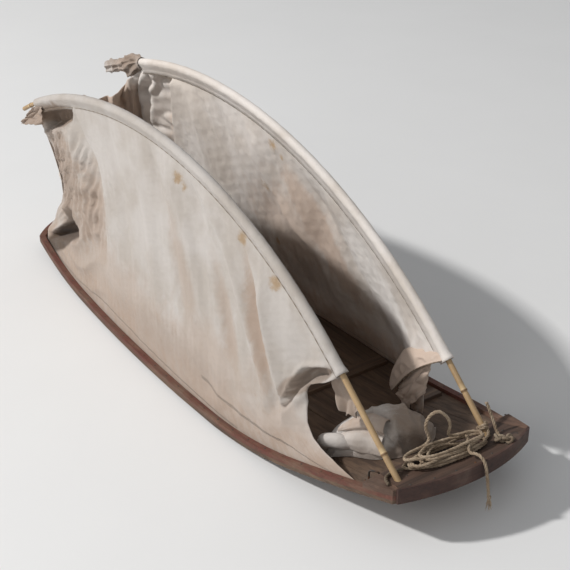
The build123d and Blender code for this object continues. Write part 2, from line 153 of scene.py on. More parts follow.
def between(top, low, down):
    # straight lines from one line of points to another, read at shares of the way down
    return top[:, None] + down[..., None] * (low - top)[:, None]


def circle(turn, across, other):
    return np.cos(turn)[..., None] * across + np.sin(turn)[..., None] * other


def ringGrid(path, radius, across, other, sides, closed=True):
    # a ring round each point of a path, and a pole at each end
    turn = np.linspace(0, 2 * np.pi, sides, endpoint=False)
    radius = np.broadcast_to(radius, (len(path),))[:, None, None]
    points = path[:, None] + radius * circle(turn, across[:, None], other[:, None])
    if closed:
        first, last = (np.repeat(path[place][None, None], sides, 1) for place in (0, -1))
        points = np.concatenate([first, points, last])
    return points


def pathFrames(path):
    # two cross directions at each point, turned as little as possible from one to the next
    tangent = unit(np.gradient(path, axis=0))
    across = np.zeros_like(path)
    start = np.cross(tangent[0], (0.0, 0.0, 1.0))
    across[0] = unit(start if np.linalg.norm(start) > 0.1 else np.cross(tangent[0], (0.0, 1.0, 0.0)))
    for place in range(1, len(path)):
        carried = across[place - 1]
        across[place] = unit(carried - np.dot(carried, tangent[place]) * tangent[place])
    return across, np.cross(tangent, across)


class Patchwork:
    # gathers grids of points into one mesh, with UVs in metres or in turns
    def __init__(self):
        self.points, self.faces, self.corners, self.count = [], [], [], 0

    def grid(self, points, around=False, uv=None):
        rows, columns = points.shape[:2]
        spot = np.arange(rows * columns).reshape(rows, columns) + self.count
        if around:
            spot = np.hstack([spot, spot[:, :1]])
        if uv is None:
            uv = joined(*shares(*spot.shape))
        near, far = slice(0, -1), slice(1, None)
        ring = [(near, near), (far, near), (far, far), (near, far)]
        self.faces.append(np.stack([spot[part] for part in ring], -1).reshape(-1, 4))
        self.corners.append(np.stack([uv[part] for part in ring], -2).reshape(-1, 4, 2))
        self.points.append(points.reshape(-1, 3))
        self.count += rows * columns

    def tube(self, path, radius, sides, closed=True, uv=None):
        self.grid(ringGrid(path, radius, *pathFrames(path), sides, closed), True, uv)

    def piece(self, name, finish, replaced=(), thick=0.0):
        points, faces = np.concatenate(self.points), np.concatenate(self.faces)
        mesh = bpy.data.meshes.new(name)
        mesh.vertices.add(len(points))
        mesh.vertices.foreach_set("co", points.astype(np.float32).ravel())
        mesh.loops.add(faces.size)
        mesh.loops.foreach_set("vertex_index", faces.ravel())
        mesh.polygons.add(len(faces))
        mesh.polygons.foreach_set("loop_start", np.arange(0, faces.size, 4))
        mesh.update(calc_edges=True)
        layer = mesh.uv_layers.new(name="UVMap")
        layer.data.foreach_set("uv", np.concatenate(self.corners).astype(np.float32).ravel())
        mesh.validate()
        build = bmesh.new()
        build.from_mesh(mesh)
        bmesh.ops.remove_doubles(build, verts=build.verts, dist=1e-6)
        bmesh.ops.recalc_face_normals(build, faces=build.faces)
        for face in build.faces:
            face.smooth = True
        build.to_mesh(mesh)
        build.free()
        mesh.materials.append(finish)
        made = bpy.data.objects.new(name, mesh)
        bpy.context.scene.collection.objects.link(made)
        if thick:
            body = made.modifiers.new("thickness", "SOLIDIFY")
            body.thickness, body.offset = thick, 0
        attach(made, "root")
        if replaced:
            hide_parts(*replaced)
        return made


# Materials
class Wire:
    # a socket of a material; sums on it add Math nodes
    def __init__(self, finish, socket):
        self.finish, self.socket = finish, socket

    def calc(self, operation, *values):
        return self.finish.node("ShaderNodeMath", {"operation": operation}, dict(enumerate(values)))

    def __abs__(self):
        return self.calc("ABSOLUTE", self)

    def sine(self):
        return self.calc("SINE", self)

    def top(self, other):
        return self.calc("MAXIMUM", self, other)

    def ease(self, low, high):
        values = {0: self, 1: low, 2: high}
        return self.finish.node("ShaderNodeMapRange", {"interpolation_type": "SMOOTHSTEP"}, values)


# the operators and their reflected forms
operators = {"add": "ADD", "sub": "SUBTRACT", "mul": "MULTIPLY", "truediv": "DIVIDE", "pow": "POWER"}
for sign, operation in operators.items():
    setattr(Wire, f"__{sign}__", lambda self, other, kind=operation: self.calc(kind, self, other))
    setattr(Wire, f"__r{sign}__", lambda self, other, kind=operation: self.calc(kind, other, self))


class Finish:
    # one material with a Principled shader
    def __init__(self, name, **fixed):
        self.material = bpy.data.materials.new(name)
        self.material.use_nodes = True
        self.tree = self.material.node_tree
        self.shader = self.tree.nodes["Principled BSDF"]
        for key, value in fixed.items():
            self.shader.inputs[key].default_value = value

    def node(self, kind, settings, values, out=0):
        made = self.tree.nodes.new(kind)
        stops = settings.pop("stops", ())
        for key, value in settings.items():
            setattr(made, key, value)
        if stops:
            ramp = made.color_ramp.elements
            for _ in stops[2:]:
                ramp.new(0.5)
            for element, (position, colour) in zip(ramp, stops):
                element.position, element.color = position, (*colour, 1)
        for key, value in values.items():
            if isinstance(value, Wire):
                self.tree.links.new(value.socket, made.inputs[key])
            else:
                made.inputs[key].default_value = value
        return Wire(self, made.outputs[out])

    def place(self, scale=(1, 1, 1), source="Object"):
        where = self.node("ShaderNodeTexCoord", {}, {}, source)
        return self.node("ShaderNodeMapping", {}, {"Vector": where, "Scale": scale})

    def parts(self, where):
        # the separate X, Y and Z of a vector
        split = self.node("ShaderNodeSeparateXYZ", {}, {0: where})
        return [Wire(self, output) for output in split.socket.node.outputs]

    def noise(self, where, scale, detail=3.0, roughness=0.55, distortion=0.0):
        values = {"Vector": where, "Scale": scale, "Detail": detail, "Roughness": roughness, "Distortion": distortion}
        return self.node("ShaderNodeTexNoise", {}, values)

    def mix(self, low, high, share, blend="MIX"):
        colours = [(*colour, 1) if isinstance(colour, tuple) else colour for colour in (low, high)]
        settings = {"data_type": "RGBA", "blend_type": blend}
        return self.node("ShaderNodeMix", settings, {0: share, 6: colours[0], 7: colours[1]}, 2)

    def ramp(self, share, stops):
        return self.node("ShaderNodeValToRGB", {"stops": stops}, {0: share})

    def bump(self, height, distance, strength=1.0, under=None):
        values = {"Height": height, "Distance": distance, "Strength": strength}
        if under:
            values["Normal"] = under
        return self.node("ShaderNodeBump", {}, values)

    def feed(self, **wires):
        names = {"colour": "Base Color", "roughness": "Roughness", "normal": "Normal"}
        for key, wire in wires.items():
            self.tree.links.new(wire.socket, self.shader.inputs[names[key]])
        return self.material


def toned(colour, tone):
    return tuple(channel * tone for channel in colour)


# Cotton canvas: cream, stained beige low down, with a plain weave, stitch lines and rust marks; dark and pale tones
# laid on areas also serve as painted shade and painted light
canvasLook = {
    "cream": (0.655, 0.6, 0.552), "paintedLight": (0.8, 0.75, 0.7), "bone": (0.555, 0.49, 0.43),
    "stainAndShade": (0.5, 0.375, 0.29), "grimeAndShade": (0.35, 0.275, 0.22), "shade": (0.12, 0.078, 0.05),
    "paintedShadeBrown": (0.3, 0.215, 0.155), "rust": (0.42, 0.27, 0.13), "thread": (0.2, 0.16, 0.12),
    "threadPitch": 0.0009, "stitchPitch": 0.0055, "stitchWidth": 0.0009, "stitchFade": 0.004,
}


def canvasFinish(name, low, shade, areas=(), stitches=(), marks=(), lying=False):
    look = canvasLook
    finish = Finish(name, **{"Roughness": 0.93, "Sheen Weight": 0.12, "Sheen Roughness": 0.6})
    where = finish.place()
    along, up, _ = finish.parts(finish.place(source="UV"))
    spotX, spotY, height = finish.parts(where)
    level = spotY if lying else height
    clouds = finish.noise(where, 5.5, 5.0, 0.62)
    blots = finish.noise(where, 17.0, 6.0, 0.68, 0.4)
    specks = finish.noise(where, 95.0, 4.0, 0.7)
    streaks = finish.noise(finish.place((9, 2.2, 1), "UV"), 6.0, 4.0, 0.6, 0.3)
    tint = finish.mix(look["bone"], look["cream"], clouds.ease(0.36, 0.62))
    hem = (1 - up.ease(0.01, low * 2)) * (0.3 + streaks * 0.95)
    tint = finish.mix(tint, look["stainAndShade"], (hem + (blots - 0.5) * 1.1).ease(0.14, 0.95))
    tint = finish.mix(tint, look["grimeAndShade"], (1 - height.ease(0.02, 0.1)) * blots * 0.42)
    tint = finish.mix(tint, look["grimeAndShade"], blots.ease(0.63, 0.8) * 0.2 + specks.ease(0.64, 0.8) * 0.16)
    # areas laid on: stains, and painted shade and painted light
    for x, z, long, high, tilt, soft, tone, share in areas:
        ahead, above = spotX - x, level - z
        away = (ahead * math.cos(tilt) + above * math.sin(tilt)) / long
        aside = (above * math.cos(tilt) - ahead * math.sin(tilt)) / high
        away = (away * away + aside * aside) ** 0.5 + ((blots - 0.5) * 1.3 + (streaks - 0.5) * 0.7) * soft
        tint = finish.mix(tint, look[tone], (1 - away.ease(1 - 0.7 * soft, 1 + 0.15 * soft)) * share)
    for x, y, z, size in marks:
        apart = finish.node("ShaderNodeVectorMath", {"operation": "DISTANCE"}, {0: where, 1: (x, y, z)}, "Value")
        apart = apart + (specks - 0.5) * size * 1.2 + (blots - 0.5) * size * 2.2
        tint = finish.mix(tint, look["rust"], (1 - apart.ease(size * 0.25, size * 1.05)) * 0.85)
    weft, warp = ((line * (2 * math.pi / look["threadPitch"])).sine() for line in (along, up))
    seam = None
    for startAlong, startUp, endAlong, endUp in stitches:
        away = abs(up - startUp - (along - startAlong) * ((endUp - startUp) / (endAlong - startAlong)))
        half = abs(endAlong - startAlong) / 2
        within = 1 - abs(along - 0.5 * (startAlong + endAlong)).ease(half, half + look["stitchFade"])
        groove = (1 - away.ease(0.0, look["stitchWidth"] * 2.6)) * within
        dash = (along * (2 * math.pi / look["stitchPitch"])).sine().ease(-0.9, -0.2)
        line = (1 - away.ease(look["stitchWidth"] * 0.5, look["stitchWidth"] * 1.2)) * dash * within
        tint = finish.mix(tint, look["thread"], line * 0.62 + groove * 0.3)
        seam = seam.top(groove) if seam else groove
    # each cloth darkened or brightened by its own factor: painted shade or painted light, lit and shaded copies of
    # one canvas
    tint = finish.mix(tint, (shade,) * 3, 1.0, "MULTIPLY")
    normal = finish.bump(weft * warp, 0.00025, 0.5)
    normal = finish.bump(finish.noise(where, 34.0, 5.0, 0.62, 0.6), 0.007, 0.26, normal)
    normal = finish.bump(blots, 0.008, 0.18, normal)
    if seam:
        normal = finish.bump(1 - seam, 0.0012, 1.0, normal)
    return finish.feed(colour=tint, normal=normal)


# Weathered wood: long grain on one axis, checks, and worn paint over it where asked
def woodFinish(name, dark, light, axis, paint=None, paintShare=0.5):
    finish = Finish(name)
    where = finish.place()
    grainWhere = finish.place(tuple(1.6 if place == axis else 38.0 for place in range(3)))
    grain = finish.noise(grainWhere, 2.6, 7.0, 0.66, 0.7)
    bands = finish.noise(grainWhere, 0.7, 4.0, 0.5, 1.4)
    patches = finish.noise(where, 9.0, 5.0, 0.62)
    fine = finish.noise(where, 140.0, 3.0, 0.6)
    tint = finish.mix(dark, light, (grain * 0.7 + bands * 0.5).ease(0.38, 0.85))
    checks = grain.ease(0.6, 0.68) * patches.ease(0.42, 0.6)
    if paint:
        worn = (patches * 0.9 + grain * 0.35 + fine * 0.15).ease(0.62 - paintShare * 0.2, 0.86)
        tint = finish.mix(finish.mix(paint, toned(paint, 0.62), fine.ease(0.4, 0.7)), tint, worn * 0.85)
    tint = finish.mix(tint, toned(dark, 0.35), checks * 0.7)
    tint = finish.mix(tint, (0.32, 0.27, 0.22), patches.ease(0.5, 0.75) * 0.14)
    normal = finish.bump(grain, 0.0022, 0.55)
    normal = finish.bump(1 - checks, 0.0018, 0.8, normal)
    normal = finish.bump(fine, 0.0008, 0.35, normal)
    return finish.feed(colour=tint, roughness=0.6 + patches * 0.28, normal=normal)


# Straw-coloured bamboo: fine streaks along the cane, dark rings at its nodes, darker where handled
def bambooFinish(name, rings):
    finish = Finish(name)
    along = finish.parts(finish.place(source="UV"))[0]
    streaks = finish.noise(finish.place((3.0, 22.0, 1.0), "UV"), 3.0, 5.0, 0.6, 0.3)
    clouds = finish.noise(finish.place(), 12.0, 5.0, 0.6)
    tint = finish.ramp(streaks * 0.75 + clouds * 0.4, [
        (0.30, (0.17, 0.095, 0.045)), (0.48, (0.33, 0.215, 0.11)),
        (0.62, (0.44, 0.295, 0.15)), (0.80, (0.54, 0.40, 0.235)),
    ])
    for ring in rings:
        tint = finish.mix(tint, (0.66, 0.5, 0.28), (1 - abs(along - ring - 0.006).ease(0.001, 0.012)) * 0.5)
        tint = finish.mix(tint, (0.13, 0.06, 0.022), (1 - abs(along - ring).ease(0.0008, 0.0034)) * 0.85)
    tint = finish.mix(tint, (0.17, 0.085, 0.035), clouds.ease(0.6, 0.78) * 0.7)
    return finish.feed(colour=tint, roughness=0.36 + streaks * 0.22, normal=finish.bump(streaks, 0.0008, 0.5))


# Old laid rope: grey-tan fibres that run slantwise in each strand
def ropeFinish(name, tone=1.0):
    finish = Finish(name, Roughness=0.95)
    fibres = finish.noise(finish.place((160.0, 9.0, 1.0), "UV"), 2.0, 4.0, 0.7, 0.5)
    clouds = finish.noise(finish.place(), 38.0, 5.0, 0.65)
    stops = [(0.34, (0.09, 0.057, 0.036)), (0.53, (0.27, 0.195, 0.128)), (0.68, (0.47, 0.37, 0.265)),
             (0.86, (0.66, 0.55, 0.43))]
    tint = finish.ramp(fibres * 0.6 + clouds * 0.55, [(place, toned(colour, tone)) for place, colour in stops])
    return finish.feed(colour=tint, normal=finish.bump(clouds, 0.0015, 0.4, finish.bump(fibres, 0.0012, 0.8)))


def ironFinish(name):
    finish = Finish(name, Metallic=0.75)
    clouds = finish.noise(finish.place(), 60.0, 5.0, 0.65)
    tint = finish.mix((0.075, 0.068, 0.062), (0.17, 0.075, 0.035), clouds.ease(0.45, 0.68))
    return finish.feed(colour=tint, roughness=0.42 + clouds * 0.4, normal=finish.bump(clouds, 0.001, 0.5))


# The sled's own lines, in metres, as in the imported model
hull = {
    "bowCornerX": 0.8235, "bowCornerHalf": 0.19, "widestX": 0.215, "widestHalf": 0.262,
    "sternCornerX": -0.7985, "sternCornerHalf": 0.178, "flatFront": 0.26, "flatRear": -0.435,
    "bowRadius": 1.4, "bowRise": math.radians(12), "sternRadius": 2.36,
    "plankTop": 0.015, "railTop": 0.025, "deckTop": 0.039, "caneRadius": 0.0065,
}
canes = {
    "starboard": {
        "side": -1, "footX": 0.7975, "footY": -0.155, "toe": math.radians(1.5), "rise": math.radians(42),
        "straight": 0.262, "bend": 1.199, "sweep": math.radians(70.3), "rings": (0.058, 0.3, 0.62, 1.0, 1.4, 1.68),
    },
    "port": {
        "side": 1, "footX": 0.7875, "footY": 0.103, "toe": math.radians(0.2), "rise": math.radians(43),
        "straight": 0.186, "bend": 1.382, "sweep": math.radians(65.4), "rings": (0.105, 0.36, 0.7, 1.1, 1.52, 1.72),
    },
}


def levelHeight(x, level):
    # height of a level of the rocker: slow arc at the stern, flat middle, arc and straight ramp at the bow
    x = np.asarray(x, float)
    radius = hull["sternRadius"]
    stern = radius - np.sqrt((radius - level) ** 2 - np.minimum(x - hull["flatRear"], 0) ** 2)
    radius = hull["bowRadius"] - level
    arc = radius * math.sin(hull["bowRise"])
    ahead = x - hull["flatFront"]
    bow = hull["bowRadius"] - np.sqrt(radius**2 - np.clip(ahead, 0, arc) ** 2)
    return np.where(x < hull["flatRear"], stern, bow + np.maximum(ahead - arc, 0) * math.tan(hull["bowRise"]))


def halfWidth(x):
    # circle arcs from the widest station to the bow and stern corners
    x = np.asarray(x, float)
    ahead = x > hull["widestX"]
    drop = hull["widestHalf"] - np.where(ahead, hull["bowCornerHalf"], hull["sternCornerHalf"])
    run = np.where(ahead, hull["bowCornerX"], hull["sternCornerX"]) - hull["widestX"]
    radius = (run**2 + drop**2) / (2 * drop)
    return hull["widestHalf"] - radius + np.sqrt(radius**2 - (x - hull["widestX"]) ** 2)


def caneLine(cane, length):
    # axis, upward normal and port direction of a cane at distances from its foot
    length = np.asarray(length, float)
    rise, bend = cane["rise"], cane["bend"]
    slope = rise - np.maximum(length - cane["straight"], 0) / bend
    held = np.minimum(length, cane["straight"])
    run = held * math.cos(rise) + bend * (math.sin(rise) - np.sin(slope))
    climb = held * math.sin(rise) + bend * (np.cos(slope) - math.cos(rise))
    aft = np.array([-math.cos(cane["toe"]), -math.sin(cane["toe"]), 0.0])
    port = np.array([-math.sin(cane["toe"]), math.cos(cane["toe"]), 0.0])
    foot = np.array([cane["footX"], cane["footY"], float(levelHeight(cane["footX"], hull["deckTop"]))])
    up = np.array([0.0, 0.0, 1.0])
    axis = foot + run[..., None] * aft + climb[..., None] * up
    return axis, circle(slope, up, -aft), port


# Hauling rope: route points as in the model, and the coil's turns wound on the deck
rope = {
    "radius": 0.0035, "lay": 0.026, "step": 0.0021, "sides": 7, "wrapRadius": 0.0103, "tilt": 0.012,
    "coilX": 0.795, "coilY": -0.023, "coilTurn": math.radians(83), "pointsPerTurn": 16, "lowest": 0.0038,
    "tail": [(0.8372, 0.002, 0.1448), (0.858, 0.0035, 0.156), (0.8785, 0.006, 0.148), (0.884, 0.009, 0.118),
             (0.883, 0.017, 0.082), (0.8855, 0.020, 0.046)],
    "loop": [(0.757, -0.033, 0.1501), (0.750, -0.044, 0.176), (0.752, -0.039, 0.204), (0.763, -0.023, 0.220),
             (0.774, -0.007, 0.206), (0.779, 0.002, 0.182), (0.775, -0.003, 0.1542)],
    "lead": [(0.803, -0.184, 0.1284), (0.783, -0.177, 0.1241), (0.771, -0.159, 0.122), (0.771, -0.140, 0.1225),
             (0.779, -0.125, 0.126)],
    "end": [(0.8276, 0.106, 0.1337), (0.812, 0.112, 0.1305), (0.797, 0.119, 0.133), (0.785, 0.1215, 0.149),
            (0.775, 0.119, 0.168), (0.767, 0.114, 0.188)],
    "toCoil": [(0.7895, 0.1050, 0.1285), (0.8010, 0.0930, 0.1285)],
    # from the loop back round the coil's port end: along, across and over it
    "back": [(0.046, 0.074, 0.090, 0.084, 0.062, 0.042), (-0.014, -0.010, 0.004, 0.020, 0.025, 0.025),
             (0.0300, 0.0305, 0.0290, 0.0270, 0.0255, 0.0235)],
    # each turn's half length, half width, height over the deck, shift of its middle and twist
    "turns": [(0.094, 0.037, 0.0038, 0.000, 0.000, 0.00), (0.080, 0.032, 0.0050, -0.006, 0.002, 0.12),
              (0.064, 0.028, 0.0075, 0.016, -0.005, -0.30), (0.091, 0.034, 0.0105, 0.003, 0.002, 0.10),
              (0.060, 0.027, 0.0140, -0.022, 0.003, -0.25), (0.093, 0.036, 0.0175, 0.001, -0.003, 0.06),
              (0.050, 0.025, 0.0220, 0.018, 0.002, -0.45), (0.087, 0.031, 0.0255, -0.003, 0.000, 0.05)],
}


def deckPoint(along, across, height):
    # a point over the coil's place on the sloping deck, by the coil's long and short axis
    rise, turn = hull["bowRise"], rope["coilTurn"]
    forward = np.array([math.cos(rise), 0, math.sin(rise)])
    square = np.array([-math.sin(rise), 0, math.cos(rise)])
    port = np.array([0, 1.0, 0])
    middle = np.array([rope["coilX"], rope["coilY"], float(levelHeight(rope["coilX"], hull["deckTop"]))])
    longWay = math.cos(turn) * forward + math.sin(turn) * port
    shortWay = math.sin(turn) * forward - math.cos(turn) * port
    along, across, height = (np.asarray(value, float)[..., None] for value in (along, across, height))
    return middle + along * longWay + across * shortWay + height * square


def coilPoints():
    # flattened loose turns: an ellipse whose size, height and middle change evenly from turn to turn
    count, turns = rope["pointsPerTurn"], np.array(rope["turns"])
    place = np.arange(0, (len(turns) - 1) * count + count * 3 // 4) / count
    halfLength, halfWide, height, shiftAlong, shiftAcross, twist = (
        np.interp(place, np.arange(len(turns)), column) for column in turns.T
    )
    angle = 2 * np.pi * place
    wobble = np.random.default_rng(4).uniform(-1, 1, (3, len(place)))
    height = height + 0.0024 * wobble[0] + 0.0022 * np.sin(angle * 1.7)
    loose = 1 + 0.09 * np.sin(2.3 * angle) + 0.07 * np.sin(3.7 * angle + 1)
    longPart, widePart = halfLength * np.cos(angle) * loose, halfWide * np.sin(angle) * loose
    along = longPart * np.cos(twist) - widePart * np.sin(twist) + shiftAlong + 0.0012 * wobble[1]
    across = (longPart * np.sin(twist) + widePart * np.cos(twist)) * 0.92 + shiftAcross + 0.001 * wobble[2]
    return deckPoint(along, across, np.maximum(height, rope["lowest"]))


def lashingPoints():
    # a helix of two turns round the port cane's foot
    axis, normal, port = caneLine(canes["port"], np.linspace(0.0245, 0.0155, 30))
    return axis + rope["wrapRadius"] * circle(np.linspace(0.2, 0.2 + 4 * np.pi, 30), normal, port)


def ropeLine(name, points):
    # the NURBS that a rope follows, and its even points
    curve = bpy.data.curves.new(name + "Line", "CURVE")
    curve.dimensions = "3D"
    spline = curve.splines.new("NURBS")
    spline.points.add(len(points) - 1)
    spline.points.foreach_set("co", np.hstack([points, np.ones((len(points), 1))]).astype(np.float32).ravel())
    spline.order_u = 3
    spline.use_endpoint_u = True
    spline.resolution_u = 12
    line = bpy.data.objects.new(name + "Line", curve)
    bpy.context.scene.collection.objects.link(line)
    bpy.context.view_layer.update()
    mesh = bpy.data.meshes.new_from_object(line)
    read = np.empty(len(mesh.vertices) * 3, np.float32)
    mesh.vertices.foreach_get("co", read)
    bpy.data.objects.remove(line)
    read = read.reshape(-1, 3).astype(float)
    return evenLine(read, max(int(alongPath(read)[-1] / rope["step"]), 12))


def laidRope(name, points, finish, replaced):
    # three strands wound round the line, each a thin tube
    line = ropeLine(name, np.asarray(points, float))
    gone = alongPath(line)
    across, other = pathFrames(line)
    around = np.linspace(0, 1, rope["sides"] + 1)
    uv = joined(np.pad(gone, 1, "edge")[:, None] + around * rope["tilt"], around)
    patch = Patchwork()
    for strand in range(3):
        angle = 2 * np.pi * (gone / rope["lay"] + strand / 3)
        offset = rope["radius"] * (0.5 + 0.06 * swell(gone, strand * 0.1, 7 + strand, 5, 0.02, 0.08))
        thick = rope["radius"] * (0.56 + 0.03 * swell(gone, strand * 0.3, 21 + strand, 4, 0.01, 0.05))
        patch.tube(line + offset[:, None] * circle(angle, across, other), thick, rope["sides"], uv=uv)
    made = patch.piece(name, finish, replaced)


def frayedEnd(name, start, finish):
    # loose fibres that fan out and hang from the rope's end, under a whipping
    dice = np.random.default_rng(11)
    patch = Patchwork()
    steps = np.linspace(0, 1, 9)[:, None]
    for _ in range(34):
        angle, reach = dice.uniform(0, 2 * np.pi), dice.uniform(0.001, 0.0075)
        drop = dice.uniform(0.016, 0.033)
        out = np.array([math.cos(angle), math.sin(angle), 0]) * (0.0022 + reach * steps**1.4)
        curl = np.array([math.sin(angle * 3), math.cos(angle * 2), 0]) * dice.uniform(0, 0.003)
        path = start + out - np.array([0, 0, 1]) * (drop * steps - 0.004) + curl * np.sin(5 * steps)
        patch.tube(path, 0.00055 * (1.15 - steps[:, 0]), 5)
    whip = np.linspace(0, 6 * np.pi, 60)
    binding = joined(0.0038 * np.cos(whip), 0.0038 * np.sin(whip), 0.006 + 0.0022 * whip / (2 * np.pi))
    patch.tube(start + binding, 0.0009, 6)
    return patch.piece(name, finish)


# two knots by place, height over the deck, size and turn, and loose fibres at the second
knot = {"knots": [(0.829, 0.096, 0.0095, 0.004, 0.3), (0.844, 0.108, 0.0085, 0.0042, 1.4)], "radius": 0.0033,
        "fibres": (0.84, 0.109, 0.144), "fibreLength": 0.016, "fibreRadius": 0.0006}


def knotPiece(name, finish, replaced):
    # two overhand knots: each a trefoil of rope, laid flat on the deck beside the nosing
    patch = Patchwork()
    turn = np.linspace(0, 2 * np.pi, 90, endpoint=False)
    trefoil = joined(np.sin(turn) + 2 * np.sin(2 * turn), np.cos(turn) - 2 * np.cos(2 * turn), -np.sin(3 * turn))
    for x, y, lift, size, tilt in knot["knots"]:
        spin = np.array([[math.cos(tilt), -math.sin(tilt), 0], [math.sin(tilt), math.cos(tilt), 0], [0, 0, 1]])
        ground = float(levelHeight(x, hull["deckTop"]))
        path = trefoil * size * np.array([1.0, 0.8, 0.95]) @ spin.T + np.array([x, y, ground + lift])
        patch.tube(np.vstack([path, path[:1]]), knot["radius"], 9, False)
    dice = np.random.default_rng(3)
    steps = np.linspace(0, 1, 7)[:, None]
    for _ in range(16):
        aim = np.array([dice.uniform(0.2, 1.0), dice.uniform(-0.4, 1.0), dice.uniform(0.0, 0.5)])
        path = knot["fibres"] + aim * knot["fibreLength"] * steps + np.array([0, 0, -0.005]) * steps**2
        patch.tube(path, knot["fibreRadius"] * (1.2 - steps[:, 0]), 5)
    return patch.piece(name, finish, replaced)


ropeLook = ropeFinish("laidRope")
wound = lashingPoints()
mainRoute = np.vstack([wound, rope["toCoil"], coilPoints(), rope["loop"], deckPoint(*rope["back"]), rope["tail"]])
fray = frayedEnd("tailFray", np.array(rope["tail"][-1]), ropeFinish("paleRope", 1.25))
# the knots' rope is toned darker than the rest: painted shade where they lie by the nosing
knots = knotPiece("ropeKnots", ropeFinish("shadedKnotRope", 0.62), ["rope_knot"])
laidRope("haulingRope", mainRoute, ropeLook, ["rope_coil", "rope_loop", "rope_tail", "rope_lashing"])
laidRope("ropeEnd", rope["end"], ropeLook, ["rope_end"])
laidRope("ropeLead", rope["lead"], ropeFinish("tarredRope", 0.45), ["rope_lead"])
print("rope made")


# Bamboo canes: a slight taper, a swelling and a groove at each node, and a cut end
caneShape = {"below": 0.018, "points": 330, "sides": 22, "node": 0.008, "nodePoints": 15,
             "swelling": 0.0011, "swellingLong": 0.0032, "groove": 0.0007, "grooveAt": 0.0045, "grooveLong": 0.0022}


def caneTube(name, cane, replaced):
    # rings round the arched axis: an even taper plus a bell at each node, less a smaller one behind it
    look = caneShape
    total = cane["straight"] + cane["bend"] * cane["sweep"]
    rings = [ring + np.linspace(-look["node"], look["node"], look["nodePoints"]) for ring in cane["rings"]]
    length = np.unique(np.concatenate([np.linspace(-look["below"], total, look["points"])] + rings))
    length = length[length <= total]
    axis, normal, port = caneLine(cane, length)
    radius = hull["caneRadius"] * (1.04 - 0.13 * length / total)
    for ring in cane["rings"]:
        radius = radius + look["swelling"] * bell(length, ring, look["swellingLong"])
        radius = radius - look["groove"] * bell(length, ring - look["grooveAt"], look["grooveLong"])
    patch = Patchwork()
    grid = ringGrid(axis, radius, normal, np.broadcast_to(port, axis.shape), look["sides"])
    patch.grid(grid, True, joined(np.pad(length, 1, "edge")[:, None], np.linspace(0, 1, look["sides"] + 1)))
    return patch.piece(name, bambooFinish(name + "Look", cane["rings"]), replaced)


caneTube("caneStarboard", canes["starboard"], ["cane_starboard"])
caneTube("canePort", canes["port"], ["cane_port"])
print("canes made")


def clothPiece(name, finish, replaced, grids, thick=0.0012, around=False):
    # a cloth of grids of points, each with its places along and up the flat cloth; None up is measured here
    patch = Patchwork()
    for points, along, up in grids:
        if up is None:
            step = np.linalg.norm(np.diff(points, axis=1), axis=-1)
            up = np.pad(np.cumsum(step, 1), ((0, 0), (1, 0)))
            corner = points[:-1, :-1]
            cells = np.cross(points[1:, :-1] - corner, points[:-1, 1:] - corner)
        patch.grid(points, around, joined(along, up))
    made = patch.piece(name, finish, replaced, thick)
